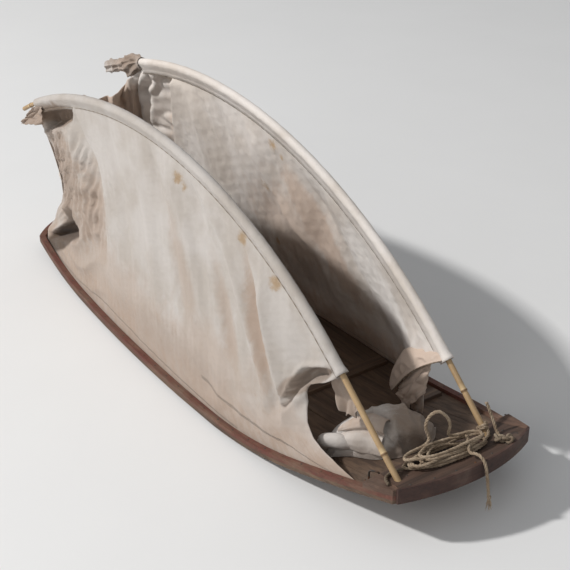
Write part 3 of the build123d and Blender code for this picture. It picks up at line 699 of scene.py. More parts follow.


# Cloths: the height of the stains low down, a factor that darkens or brightens the whole cloth as painted shade or
# painted light, stitch runs (cane length and height up the cloth at both ends), rust marks (place and half size) and
# areas (x, z, half length, half height, tilt, softness of the edge, tone, strength) of stains, painted shade and
# painted light
cuffAreas = [(0.55, 0.18, 0.25, 0.25, 0, 1, "stainAndShade", 0.85), (-0.7, 0.46, 0.15, 0.1, 0, 0.7, "stainAndShade", 1.0)]
canvases = {
    "starboard": {
        "low": 0.12, "shade": 0.78,
        "stitches": [(1.6, 0.004, 1.19, 0.036), (1.19, 0.036, 0.59, 0.0126), (0.7, 0.084, 0.408, 0.052),
                     (0.7, 0.079, 0.404, 0.047), (0.408, 0.052, 0.262, 0.0)],
        "marks": [(0.026, -0.182, 0.522, 0.021), (0.050, -0.183, 0.508, 0.015), (0.278, -0.175, 0.467, 0.022),
                  (0.399, -0.174, 0.405, 0.023)],
        # the first three areas darken the rear: stains, and partly painted shade of its wrinkles; the rest of this
        # line and the next are stains low down
        "areas": [(-0.4, 0.27, 0.085, 0.16, 0, 1, "stainAndShade", 0.8), (-0.58, 0.27, 0.19, 0.24, 0, 0.8, "stainAndShade", 0.9),
                  (-0.57, 0.27, 0.15, 0.2, 0, 0.9, "grimeAndShade", 0.42), (-0.22, 0.13, 0.3, 0.11, 0, 1, "stainAndShade", 0.55),
                  (0.2, 0.13, 0.25, 0.13, 0, 1, "stainAndShade", 0.6), (0.5, 0.11, 0.12, 0.07, 0, 1, "stainAndShade", 0.55),
                  # brown under the sleeve's rear end: painted shade in the hollow there
                  (-0.6, 0.49, 0.13, 0.04, 0.28, 0.5, "paintedShadeBrown", 0.95),
                  # a dark brown wedge at the stern corner: painted shade in the corner pocket
                  (-0.662, 0.098, 0.16, 0.037, 0.535, 0.35, "shade", 1.0),
                  (0.1, 0.27, 0.09, 0.11, 0, 1, "bone", 0.8), (0.31, 0.26, 0.045, 0.16, 0, 1, "bone", 0.9),
                  # brown in the front pocket: painted shade of its recess, partly stains
                  (0.512, 0.218, 0.1, 0.025, 0.69, 0.45, "paintedShadeBrown", 0.72),
                  # tilted bands beside the pale panel's crease and its ridges: painted shade of the valleys, partly
                  # stains
                  (0.355, 0.29, 0.17, 0.034, 2.03, 0.8, "stainAndShade", 0.9),
                  (0.25, 0.25, 0.16, 0.03, 2.1, 1, "stainAndShade", 0.6), (0.06, 0.3, 0.18, 0.04, 2.1, 1, "stainAndShade", 0.5),
                  (0.44, 0.33, 0.13, 0.05, 2.2, 0.9, "cream", 0.8), (0.02, 0.1, 0.35, 0.05, 0, 1, "grimeAndShade", 0.3)],
    },
    "port": {
        "low": 0.1, "shade": 1.22, "stitches": [(1.55, 0.024, 0.2, 0.02)],
        "marks": [(0.004, 0.108, 0.529, 0.024), (-0.059, 0.141, 0.396, 0.026), (-0.075, 0.18, 0.223, 0.018),
                  (0.03, 0.115, 0.505, 0.013)],
        "areas": [(0.02, 0.3, 0.24, 0.15, 0, 1, "stainAndShade", 0.65),
                  # a band behind the long crease: painted shade of its valley, partly stains
                  (0.15, 0.325, 0.22, 0.058, -0.906, 0.5, "stainAndShade", 0.75),
                  # darker low down, and a pale patch on the low front that is painted light
                  (0.05, 0.17, 0.3, 0.06, 0, 1, "grimeAndShade", 0.5), (0.38, 0.26, 0.22, 0.085, -0.906, 0.6, "paintedLight", 0.95),
                  # behind the sharp rear crease: painted shade, partly stains
                  (-0.52, 0.4, 0.05, 0.12, 0, 1, "stainAndShade", 0.7)],
    },
    "stern": {"low": 0.12, "shade": 1.12, "stitches": [(-0.1, 0.024, 0.6, 0.024), (-0.1, 0.33, 0.6, 0.33)],
              "areas": [(-0.72, 0.46, 0.12, 0.16, 0, 1, "stainAndShade", 0.9)]},
    # the loose panel lies flat, so its areas go by x and y; all three are painted shade on the mound's far half and
    # its front slope
    "loose": {"low": 0.05, "shade": 0.95, "lying": True,
              "areas": [(0.66, 0.03, 0.08, 0.085, 0, 0.7, "paintedShadeBrown", 0.85),
                        (0.705, -0.05, 0.036, 0.09, 0, 0.6, "shade", 0.85),
                        (0.668, -0.112, 0.075, 0.018, 0.45, 1, "grimeAndShade", 0.7)]},
    "tip": {"low": 0.05, "shade": 0.8,
            "areas": [(-0.7, 0.6, 0.14, 0.12, 0, 1, "stainAndShade", 0.9), (-0.77, 0.6, 0.06, 0.08, 0, 1, "grimeAndShade", 0.8),
                      # brown where the gather begins: painted shade in its hollow
                      (-0.655, 0.56, 0.05, 0.05, 0, 0.6, "paintedShadeBrown", 0.6)]},
    "scrap": {"low": 0.05, "shade": 0.66, "areas": cuffAreas},
    "cuff": {"low": 0.05, "shade": 1.12, "areas": cuffAreas},
}
cloths = {name: canvasFinish(name + "Canvas", **values) for name, values in canvases.items()}

# Canvas sides: one sheet from the hem at the rail up to the cane, round it as a sleeve, and sewn back on itself
# Edge tables go by the share of the way up from the hem, 0, to the sleeve seam, 1
sheet = {"columns": 250, "wallRows": 96, "ringPoints": 22, "rearX": -0.781, "drop": 0.0225, "radius": 0.0108,
         "inset": 0.0176, "lift": 0.0014, "lap": (-0.0295, 0.0011), "flare": 0.3, "flareLong": 0.02}
sides = {
    "starboard": {
        "footFront": 0.731, "sleeveStart": 0.24, "sleeveSweep": math.radians(65.8), "cloth": (0.6, 1.5),
        "frontShare": [0, 0.04, 0.08, 0.14, 0.2, 0.28, 0.4, 0.535, 0.6, 0.7, 0.8, 0.905, 1.0],
        "frontPlace": [0.998, 0.985, 0.97, 0.943, 0.907, 0.892, 0.889, 0.893, 0.912, 0.942, 0.964, 0.984, 1.0],
        "rearShare": [0, 0.08, 0.18, 0.32, 0.5, 0.68, 0.86, 1.0],
        "rearX": [-0.781, -0.785, -0.755, -0.712, -0.7, -0.7, -0.69, -0.676],
        "rearY": [-0.16, -0.154, -0.135, -0.128, -0.136, -0.152, -0.176, -0.1935],
        "swing": (2, 3, 0),
    },
    "port": {
        "footFront": 0.572, "sleeveStart": 0.178, "sleeveSweep": math.radians(57), "cloth": (0.62, 1.46),
        "frontShare": [0, 0.15, 0.33, 0.5, 0.67, 0.85, 1.0],
        "frontPlace": [1.0, 0.995, 0.982, 0.97, 0.962, 0.972, 1.0],
        "rearShare": [0, 0.1, 0.25, 0.45, 0.65, 0.85, 1.0],
        "rearX": [-0.781, -0.778, -0.755, -0.728, -0.71, -0.672, -0.622],
        "rearY": [0.16, 0.158, 0.158, 0.157, 0.146, 0.124, 0.0981],
        # the front foot leaves the rail at a share of the run, and swings in to a distance from the middle
        "swing": (0.84, 0.97, 0.118),
    },
}
for side, shape in sides.items():
    shape.update(canes[side])
    shape["end"] = shape["straight"] + shape["bend"] * shape["sleeveSweep"]


def seamLine(shape, length):
    # the sewn line under the sleeve
    axis, normal, _ = caneLine(shape, length)
    return axis - sheet["drop"] * normal


def sleeveLength(shape, run):
    # cane length from the sleeve's rear end, 0, to its mouth, 1
    return shape["end"] + (shape["sleeveStart"] - shape["end"]) * run


def rearEdge(shape, share):
    # the corner line that a side and the stern panel share
    top = seamLine(shape, np.array([shape["end"]]))[0]
    x, y = (curveTable(share, shape["rearShare"], shape[name]) for name in ("rearX", "rearY"))
    low = float(levelHeight(sheet["rearX"], hull["plankTop"]))
    closing = ease(share, 0.85, 1.0)
    return joined(x + closing * (top[0] - x), y + closing * (top[1] - y), low + share * (top[2] - low))


def sideBase(shape, place, share):
    # straight lines from the hem to the sleeve seam, with the rear and front edges bent by their tables
    run = place * curveTable(share, shape["frontShare"], shape["frontPlace"])
    footX = sheet["rearX"] + (shape["footFront"] - sheet["rearX"]) * run
    footY = shape["side"] * (halfWidth(footX) - sheet["inset"])
    leave, arrive, inside = shape["swing"]
    footY = footY + ease(run, leave, arrive) * (shape["side"] * inside - footY)
    foot = joined(footX, footY, levelHeight(footX, hull["plankTop"]) + sheet["lift"])
    points = foot + share[..., None] * (seamLine(shape, sleeveLength(shape, run)) - foot)
    pull = (1 - ease(run, 0.0, 0.17)) ** 1.3
    return points + pull[..., None] * (rearEdge(shape, share[:1]) - points[:1]), run


# Folds: how far the middle stands out at even stations from stern to bow, as in the model, how far a fold leans
# (run aft for each metre up), and slanting waves (size, slant, drift, seed, count, lengths, spread), in metres
broadFolds = {
    "firstX": -0.77, "step": 0.07525, "middleZ": 0.28, "fine": 0.0007, "reach": 0.035,
    "leanX": [-0.77, -0.45, -0.27, -0.09, 0.13, 0.33, 0.735],
    "starboard": {
        "out": [0, 0, 0, 0.004, 0.007, -0.014, -0.007, -0.008, -0.010, -0.009, -0.007, -0.008, -0.010, -0.010,
                -0.007, -0.003, -0.006, -0.020, -0.014, -0.003, 0],
        "lean": [0] * 7, "waves": (0.0022, 0.3, 0.15, 31, 6, 0.08, 0.2, 0.25), "fineSeed": 71,
    },
    "port": {
        "out": [0, 0, 0, -0.008, 0.001, -0.008, -0.015, -0.016, -0.008, 0.001, -0.010, -0.012, 0.001, -0.014,
                -0.008, 0.001, -0.006, -0.004, 0, 0, 0],
        "lean": [0.3, 0.26, -0.3, -0.8, -0.31, -0.08, 0.0], "waves": (0.002, 0.42, 0.1, 12, 5, 0.07, 0.18, 0.2),
        "fineSeed": 45,
    },
}


def wallFolds(side, points, share):
    # the station table times a bow from hem to seam, with slanting waves and fine ones
    table = broadFolds[side]
    x, z = points[..., 0], points[..., 2]
    rise = z - levelHeight(x, hull["railTop"])
    held = ease(rise, 0.0, 0.05) * below(share, 0.1)
    stations = broadFolds["firstX"] + broadFolds["step"] * np.arange(len(table["out"]))
    lean = np.interp(x, broadFolds["leanX"], table["lean"]) * (z - broadFolds["middleZ"])
    move = softTable(x + lean, stations, table["out"], broadFolds["reach"]) * 4 * share * (1 - share)
    size, slant, drift, seed, count, shortest, longest, spread = table["waves"]
    move += held * size * swell(x + slant * z, drift * z, seed, count, shortest, longest, 0.0, spread)
    move += broadFolds["fine"] * swell(x, z, table["fineSeed"], 9, 0.015, 0.04) * ease(rise, 0.0, 0.02)
    return x, z, rise, held, move


# Where the folds lie: run forward or x at a share or height, and sizes in metres
starboardLines = {
    "pocketShare": [0.27, 0.36, 0.475, 0.565, 0.62, 0.7, 0.765, 0.89, 1.0],
    "pocketRear": [0.8425, 0.846, 0.857, 0.872, 0.882, 0.91, 0.928, 0.962, 0.99],
    "pocketFront": [0.846, 0.863, 0.881, 0.902, 0.922, 0.948, 0.96, 0.98, 0.995],
    "pocketDepth": [0.0, 0.018, 0.032, 0.034, 0.03, 0.022, 0.014, 0.006, 0.0],
    "pocketRoll": 0.006, "pocketLip": 0.009, "pocketNick": 0.016,
    "panelHeight": [0.144, 0.202, 0.293, 0.353, 0.47], "panelX": [0.478, 0.443, 0.395, 0.368, 0.335],
    "panelCrest": 0.015, "panelValley": 0.013,
    # long ridges: x at 0.25 m and at 0.46 m up, width and height
    "ridges": [(0.347, 0.185, 0.016, 0.009), (0.405, 0.29, 0.014, 0.009), (0.255, 0.12, 0.022, -0.008),
               (0.15, 0.03, 0.02, 0.008), (0.06, -0.05, 0.02, -0.007), (-0.06, -0.15, 0.024, 0.007),
               (-0.2, -0.27, 0.022, -0.007)],
    "slackHeight": [0.15, 0.247, 0.367, 0.426, 0.477, 0.55],
    "slackX": [-0.31, -0.323, -0.339, -0.364, -0.417, -0.47],
    "slackDepth": 0.016, "slackRoll": 0.012, "crumple": 0.005, "fanX": -0.76, "fanZ": 0.075, "fan": 0.004,
    # the corner pocket: its stern end, heading, length, depth and the lip over it
    "cornerX": -0.76, "cornerZ": 0.062, "cornerAlong": 0.87, "cornerUp": 0.494, "cornerLong": 0.3,
    "cornerDepth": 0.048, "cornerLip": 0.01, "cornerDroop": 0.02, "hollow": 0.15, "hollowDepth": 0.05,
    "hollowRim": 0.002,
}


def starboardFolds(points, run, share):
    # outward moves in metres
    line = starboardLines
    x, z, rise, held, move = wallFolds("starboard", points, share)
    # front pocket: drops in sharply at its rear crease and rolls out again to the lip
    rear, lip, depth = (np.interp(share, line["pocketShare"], line[name])
                        for name in ("pocketRear", "pocketFront", "pocketDepth"))
    inside = (run - rear) / (lip - rear)
    move -= depth * window(inside, -0.05, 0.1, 0.45, 0.95)
    move += line["pocketRoll"] * bell(inside, -0.1, 0.16) * ease(depth, 0.0, 0.015)
    rolled = ease(inside, 0.55, 0.95) * (1 - ease(run - lip, 0.004, 0.018))
    move += line["pocketLip"] * window(share, 0.3, 0.42, 0.88, 0.99) * rolled
    move -= line["pocketNick"] * bell(run, 0.899, 0.007) * bell(share, 0.53, 0.03)
    # the pale panel behind the pocket stands proud of the lower cloth
    ahead = x - np.interp(z, line["panelHeight"], line["panelX"])
    crest = line["panelCrest"] * np.exp(-np.abs(ahead) / np.where(ahead > 0, 0.05, 0.008))
    crest = crest - line["panelValley"] * bell(ahead, -0.034, 0.02)
    move += crest * ease(share, 0.12, 0.3) * below(share, 0.3, 0.02)
    for lowX, topX, wide, size in line["ridges"]:
        middle = lowX + (topX - lowX) * (z - 0.25) / 0.21 + 0.006 * np.sin(z * 21)
        move += size * bell(x, middle, wide) * ease(share, 0.18, 0.5) * below(share, 0.15)
    # slack cloth behind a long crease, with wrinkles that fan out from the stern corner
    behind = np.interp(z, line["slackHeight"], line["slackX"]) - x
    step = ease(behind, -0.004, 0.018) * np.exp(-np.maximum(behind, 0) / 0.05)
    move -= line["slackDepth"] * step * ease(z, 0.13, 0.22) * held
    move += line["slackRoll"] * bell(behind, 0.095, 0.035) * ease(z, 0.18, 0.28) * below(share, 0.2)
    crumple = line["crumple"] * ridged(swell(x * 1.2, z * 0.7, 63, 6, 0.03, 0.07, 0.0, 0.9))
    move += crumple * ease(behind, 0.02, 0.08) * ease(z, 0.16, 0.24) * below(share, 0.1) * ease(run, 0.0, 0.02)
    angle, far = np.arctan2(z - line["fanZ"], x - line["fanX"]), np.hypot(z - line["fanZ"], x - line["fanX"])
    fan = line["fan"] * ridged(np.sin(angle * 17 + 1.1 + 1.2 * swell(far, angle * 0.3, 5, 4, 0.15, 0.5)))
    move += fan * bell(far, 0.24, 0.2) * ease(far, 0.03, 0.12) * ease(rise, 0.0, 0.03) * below(share, 0.3, 0.05)
    # deep pocket that rises forward from the stern corner, under a drooping lip
    east, high = x - line["cornerX"], z - line["cornerZ"]
    along = (east * line["cornerAlong"] + high * line["cornerUp"]) / line["cornerLong"]
    above = high * line["cornerAlong"] - east * line["cornerUp"]
    opening = 0.01 + 0.03 * ease(along, 0.1, 0.9)
    pocket = line["cornerDepth"] * np.exp(-(np.abs(above / opening) ** 5))
    move += (line["cornerLip"] * bell(above, 0.056, 0.02) - pocket) * window(along, -0.05, 0.18, 0.88, 1.03)
    move += line["cornerDroop"] * bell(above, 0.008, 0.007) * window(along, 0.0, 0.15, 0.5, 0.72)
    # hollow under the sleeve's rear end, where the wall has come off it
    torn = np.abs(run / line["hollow"]) ** 3 + ((1 - share) / line["hollow"]) ** 2.5
    torn = torn + 0.12 * swell(x, z, 83, 5, 0.02, 0.06)
    move -= line["hollowDepth"] * (1 - ease(torn, 0.5, 1.1)) * below(share, 0.03) * ease(run, 0.0, 0.012)
    return move + line["hollowRim"] * bell(torn, 1.15, 0.16)


portLines = {
    "creaseHeight": [0.15, 0.32, 0.45, 0.58], "creaseX": [-0.49, -0.485, -0.475, -0.447], "creaseDepth": 0.013,
    "fallBack": 0.024, "crumple": 0.0035, "turnIn": 0.008, "turnOut": 0.010,
    # long creases: heights, places along, depth outward, and how wide behind and ahead
    "long": [([0.12, 0.257, 0.345, 0.427, 0.49], [0.335, 0.291, 0.238, 0.169, 0.115], 0.018, 0.06, 0.08),
             ([0.16, 0.268, 0.303, 0.386, 0.463], [0.15, 0.109, 0.041, -0.04, -0.079], -0.01, 0.05, 0.04),
             ([0.12, 0.3, 0.45], [-0.16, -0.19, -0.22], 0.009, 0.045, 0.05),
             ([0.12, 0.3, 0.45], [-0.3, -0.33, -0.35], -0.009, 0.05, 0.04)],
    # pleats along the rear edge: place, width, size and the share up where each is deepest
    "rear": [(0.022, 0.01, -0.012, 0.75), (0.052, 0.012, 0.012, 0.8), (0.082, 0.01, -0.009, 0.7)],
}


def portFolds(points, run, share):
    line = portLines
    x, z, rise, held, move = wallFolds("port", points, share)
    for heights, places, size, back, front in line["long"]:
        ahead = x - np.interp(z, heights, places)
        crest = np.exp(-np.sqrt(ahead**2 + 0.004**2) / np.where(ahead > 0, front, back))
        move += size * crest * ease(share, 0.08, 0.35) * below(share, 0.2)
    # sharp crease near the stern: the sunlit panel stands in ahead of it, the cloth behind it falls back
    behind = np.interp(z, line["creaseHeight"], line["creaseX"]) - x
    loose = ease(z, 0.12, 0.24) * below(share, 0.05)
    move -= line["creaseDepth"] * np.exp(-np.abs(behind) / np.where(behind > 0, 0.006, 0.055)) * loose
    move += line["fallBack"] * window(behind, 0.0, 0.016, 0.07, 0.16) * loose
    crumple = ridged(swell(x * 0.5, z, 61, 6, 0.03, 0.07)) * ease(behind, 0.01, 0.03) * ease(run, 0.0, 0.03)
    move += line["crumple"] * crumple * loose
    for middle, width, size, top in line["rear"]:
        pleat = bell(run * 1.4, middle + 0.04 * (0.5 - share), width)
        move += size * pleat * bell(share, top, 0.35) * below(share, 0.05)
    # the front edge turns in and out again
    move -= line["turnIn"] * bell(run, 0.925, 0.012) * below(share, 0.3, 0.05)
    return move + line["turnOut"] * bell(run, 0.955, 0.01) * below(share, 0.4, 0.1)


def sideSheet(side, folds):
    shape = sides[side]
    place, share = shares(sheet["columns"], sheet["wallRows"])
    wall, run = sideBase(shape, place, share)
    facing = gridNormals(wall)
    facing = 0.2 * shape["side"] * np.sign(facing[..., 1:2]) * facing + np.array([0, 0.8 * shape["side"], 0])
    wall = wall + folds(wall, run, share)[..., None] * unit(facing)
    # the sleeve's section is a drop: flanks from the seam to a circle round the cane, and a lap sewn on the wall
    length = sleeveLength(shape, place[:, 0])
    axis, normal, port = caneLine(shape, length)
    reach = math.pi - math.acos(sheet["radius"] / sheet["drop"])
    turn = np.linspace(-reach, reach, sheet["ringPoints"])
    ring, seam = sheet["radius"] * joined(np.cos(turn), np.sin(turn)), np.array([-sheet["drop"], 0])
    rising = seam + (ring[0] - seam) * np.array([0.33, 0.66])[:, None]
    falling = seam + (ring[-1] - seam) * np.array([0.66, 0.33, 0.08])[:, None]
    section = np.vstack([rising, ring, falling, sheet["lap"]])
    ripple = 0.0006 * swell(length[:, None], np.arange(len(section)) * 0.004, 91, 8, 0.015, 0.06)
    flare = sheet["flare"] * ease(-length, -shape["sleeveStart"] - sheet["flareLong"], -shape["sleeveStart"])[:, None]
    up = section[:, 0] * (1 + ripple * 20)
    up = up * (1 + flare * (up > -0.012))
    out = -shape["side"] * section[:, 1] * (1 + ripple * 40) * (1 + flare)
    sleeve = axis[:, None] + up[..., None] * normal[:, None] + out[..., None] * port
    clothPiece("side" + side.capitalize(), cloths[side], ["wall_" + side, "sleeve_" + side],
               [(np.concatenate([wall, sleeve], 1), length[:, None], None)])


sideSheet("starboard", starboardFolds)
sideSheet("port", portFolds)
print("canvas sides made")

# Stern panel: a sheet bent round the stern between the two corner lines, gathered towards the port tip
stern = {
    "columns": 190, "rows": 96, "middleX": -0.8535, "leanX": 0.062, "leanY": -0.035, "sagTop": 0.04, "wide": 0.42,
    "dipAcross": [0, 0.4, 0.5, 0.6, 0.7, 0.8, 0.86, 0.92, 1],
    "dip": [0, 0.003, 0.013, 0.034, 0.05, 0.057, 0.048, 0.018, 0],
    # pleats: place across, width, height, and how far each leans
    "pleats": [(0.16, 0.05, 0.01, 0.1), (0.3, 0.04, -0.008, -0.05), (0.41, 0.03, 0.009, 0.06),
               (0.52, 0.035, -0.01, 0.03), (0.62, 0.026, 0.013, -0.04), (0.7, 0.02, -0.012, 0.02),
               (0.765, 0.022, 0.016, 0.05), (0.835, 0.02, -0.016, 0.0), (0.89, 0.016, 0.014, 0.02),
               (0.94, 0.014, -0.01, 0.0)],
    # hollows: place across and up, half widths and depth
    "hollows": [(0.12, 0.12, 0.18, 0.16, 0.034), (0.55, 0.25, 0.55, 0.3, 0.012)],
}


def sternSheet():
    # quadratic curves across, through the starboard corner line, a middle line and the port one, dipped near the top
    across, share = shares(stern["columns"], stern["rows"])
    left, right = (rearEdge(sides[side], share) for side in ("starboard", "port"))
    low = float(levelHeight(stern["middleX"], hull["plankTop"]))
    high = np.where(share > 0, 0.5 * (left[..., 2] + right[..., 2]) - stern["sagTop"] * share, low)
    middle = joined(stern["middleX"] + stern["leanX"] * share**1.3, stern["leanY"] * share, high)
    weights = [(1 - across) * (1 - 2 * across), 4 * across * (1 - across), across * (2 * across - 1)]
    points = sum(weight[..., None] * part for weight, part in zip(weights, (left, middle, right)))
    points[..., 2] -= np.interp(across, stern["dipAcross"], stern["dip"]) * ease(share, 0.35, 1.0)
    normal = gridNormals(points)
    bottom = ease(share, 0.03, 0.16)
    move = np.zeros_like(share)
    for place, width, size, lean in stern["pleats"]:
        drift = place + lean * (1 - share) + 0.012 * swell(share, 0 * share, int(place * 100), 3, 0.3, 0.8)
        move += size * bell(across, drift, width * (1.5 - 0.5 * share)) * (0.25 + 0.75 * share) * bottom
    for place, width, height, tall, depth in stern["hollows"]:
        move -= depth * bell(across, place, width) * bell(share, height, tall) * (bottom if height < 0.5 else 1)
    move += 0.004 * swell(across * 0.4, share * 0.45, 19, 7, 0.06, 0.2) * bottom
    move += 0.0008 * swell(across * 0.4, share * 0.45, 20, 9, 0.015, 0.04)
    pinned = ease(across, 0.0, 0.05) * ease(1 - across, 0.0, 0.05)
    points = points - (move * pinned)[..., None] * normal * np.sign(normal[..., :1])
    clothPiece("sternPanel", cloths["stern"], ["stern_panel"], [(points, across * stern["wide"], None)])


sternSheet()
print("stern panel made")

# Gathered canvas round the port cane's tip: a sleeve end drawn together in deep pleats
gather = {"start": 1.548, "long": 0.228, "rows": 110, "sides": 130, "wide": 0.13, "sag": 0.024,
          "reach": [0, 0.1, 0.24, 0.4, 0.55, 0.66, 0.8, 0.92, 1.0],
          "size": [0.0135, 0.019, 0.023, 0.0185, 0.014, 0.015, 0.019, 0.015, 0.0]}


def tipGather():
    # rings along the cane, their size by a table times pleats and crumples, with a sag under the cane
    reach = np.linspace(0, 1, gather["rows"])[:, None]
    turn = np.linspace(0, 2 * np.pi, gather["sides"], endpoint=False)[None, :]
    axis, normal, port = caneLine(canes["port"], gather["start"] + gather["long"] * reach[:, 0])
    size = softTable(reach, gather["reach"], gather["size"], 0.04) * np.sqrt(np.clip((1 - reach) / 0.06, 0, 1))
    pleats = ridged(np.sin(turn * 4 + 4 * reach + 0.9 * np.sin(turn + 7 * reach)))
    crumple = ridged(0.8 * np.sin(turn * 2 + 15 * reach) + 0.6 * np.sin(turn - 21 * reach + 1.0))
    size = size * (1 + 0.15 * (pleats + crumple) * ease(reach, 0.0, 0.10))
    sag = gather["sag"] * bell(reach, 0.28, 0.2) * np.maximum(-np.cos(turn), 0) ** 1.5
    points = axis[:, None] + size[..., None] * circle(turn, normal[:, None], port) - sag[..., None] * normal[:, None]
    points[-1] = points[-1].mean(0)
    up = np.linspace(0, gather["wide"], gather["sides"] + 1) + 0.2
    clothPiece("tipGather", cloths["tip"], ["tip_wrap"], [(points, reach * gather["long"], up)],
               0.0011, True)


tipGather()

# Sewn seams under both sleeves: a thin dark cord of thread on each face of the cloth, and dark rings inside the
# mouths that stand in for the shade in the sleeves' openings
seamThread = {"radius": 0.0007, "proud": 0.0016, "below": 0.002, "behind": 0.0072, "points": 260, "inset": 0.004,
              "mouthShadeRings": (0.0082, 0.0104, 0.0126), "ringRadius": 0.0014, "ringInset": 0.0015}


def seamThreads():
    # lines at a set depth under the cane's axis, and dark circles round the axis at the mouths, as painted shade in
    # the openings
    patch = Patchwork()
    look = seamThread
    for shape in sides.values():
        length = np.linspace(shape["sleeveStart"] + look["inset"], shape["end"] - look["inset"], look["points"])
        axis, normal, port = caneLine(shape, length)
        for face in (-1, 1):
            deep = sheet["drop"] + look["below" if face == shape["side"] else "behind"]
            path = axis - deep * normal + face * look["proud"] * port
            patch.tube(path, look["radius"] * (0.75 + 0.35 * np.sin(length * 900)), 6)
        axis, normal, port = caneLine(shape, np.array([shape["sleeveStart"] + look["ringInset"]]))
        for wide in look["mouthShadeRings"]:
            ring = axis + wide * circle(np.linspace(0, 2 * np.pi, 30), normal, port)
            patch.tube(ring, look["ringRadius"], 6, False)
    patch.piece("seamThreads", threadLook)


threadLook = ropeFinish("seamThread", 0.62)
seamThreads()

# Loose front panel: crumpled down on the planks behind the deck, as a mound, a folded flap and a roll at its side
heap = {
    "rows": 150, "columns": 170,
    # across the sled: the mound's rear and front edge, its ridge's place between them, and the ridge's height
    "across": [0, 0.18, 0.36, 0.52, 0.68, 0.84, 1.0],
    "rearX": [0.528, 0.52, 0.522, 0.53, 0.545, 0.57, 0.6],
    "rearY": [-0.166, -0.13, -0.085, -0.04, 0.005, 0.05, 0.086],
    "frontX": [0.58, 0.612, 0.66, 0.698, 0.708, 0.69, 0.646],
    "frontY": [-0.16, -0.128, -0.108, -0.06, -0.01, 0.04, 0.086],
    "ridge": [0.5, 0.44, 0.42, 0.4, 0.42, 0.48, 0.5],
    "high": [0.02, 0.05, 0.08, 0.088, 0.084, 0.052, 0.01],
    # creases: a point on each, its heading, how long and wide it is, and its height
    "creases": [(0.64, -0.03, 0.5, 0.07, 0.007, 0.008), (0.665, -0.06, 0.2, 0.06, 0.006, -0.008),
                (0.65, 0.02, 0.9, 0.07, 0.008, 0.007), (0.69, -0.01, 1.2, 0.06, 0.006, 0.006),
                (0.61, 0.03, -0.9, 0.05, 0.007, 0.006), (0.68, -0.085, 0.9, 0.05, 0.005, 0.007)],
    # the flap's upper and lower edge, and its section: how far out and how far down at even steps
    "flapTop": [(0.566, -0.116, 0.11), (0.587, -0.092, 0.136), (0.613, -0.072, 0.15), (0.646, -0.052, 0.142)],
    "flapLow": [(0.576, -0.124, 0.08), (0.602, -0.122, 0.077), (0.636, -0.11, 0.074), (0.676, -0.086, 0.08)],
    "flapOut": [-0.02, -0.004, 0.012, 0.02, 0.02, 0.008, 0.018, 0.024, 0.023, 0.016, -0.004],
    "flapDown": [0.16, 0.0, -0.02, 0.1, 0.26, 0.36, 0.42, 0.58, 0.76, 0.94, 1.02], "flapFacing": (0.42, -0.88, 0.22),
    "rollStart": (0.553, -0.17, 0.086), "rollEnd": (0.622, -0.114, 0.086), "rollRadius": 0.018, "rollTurns": 2.3,
}


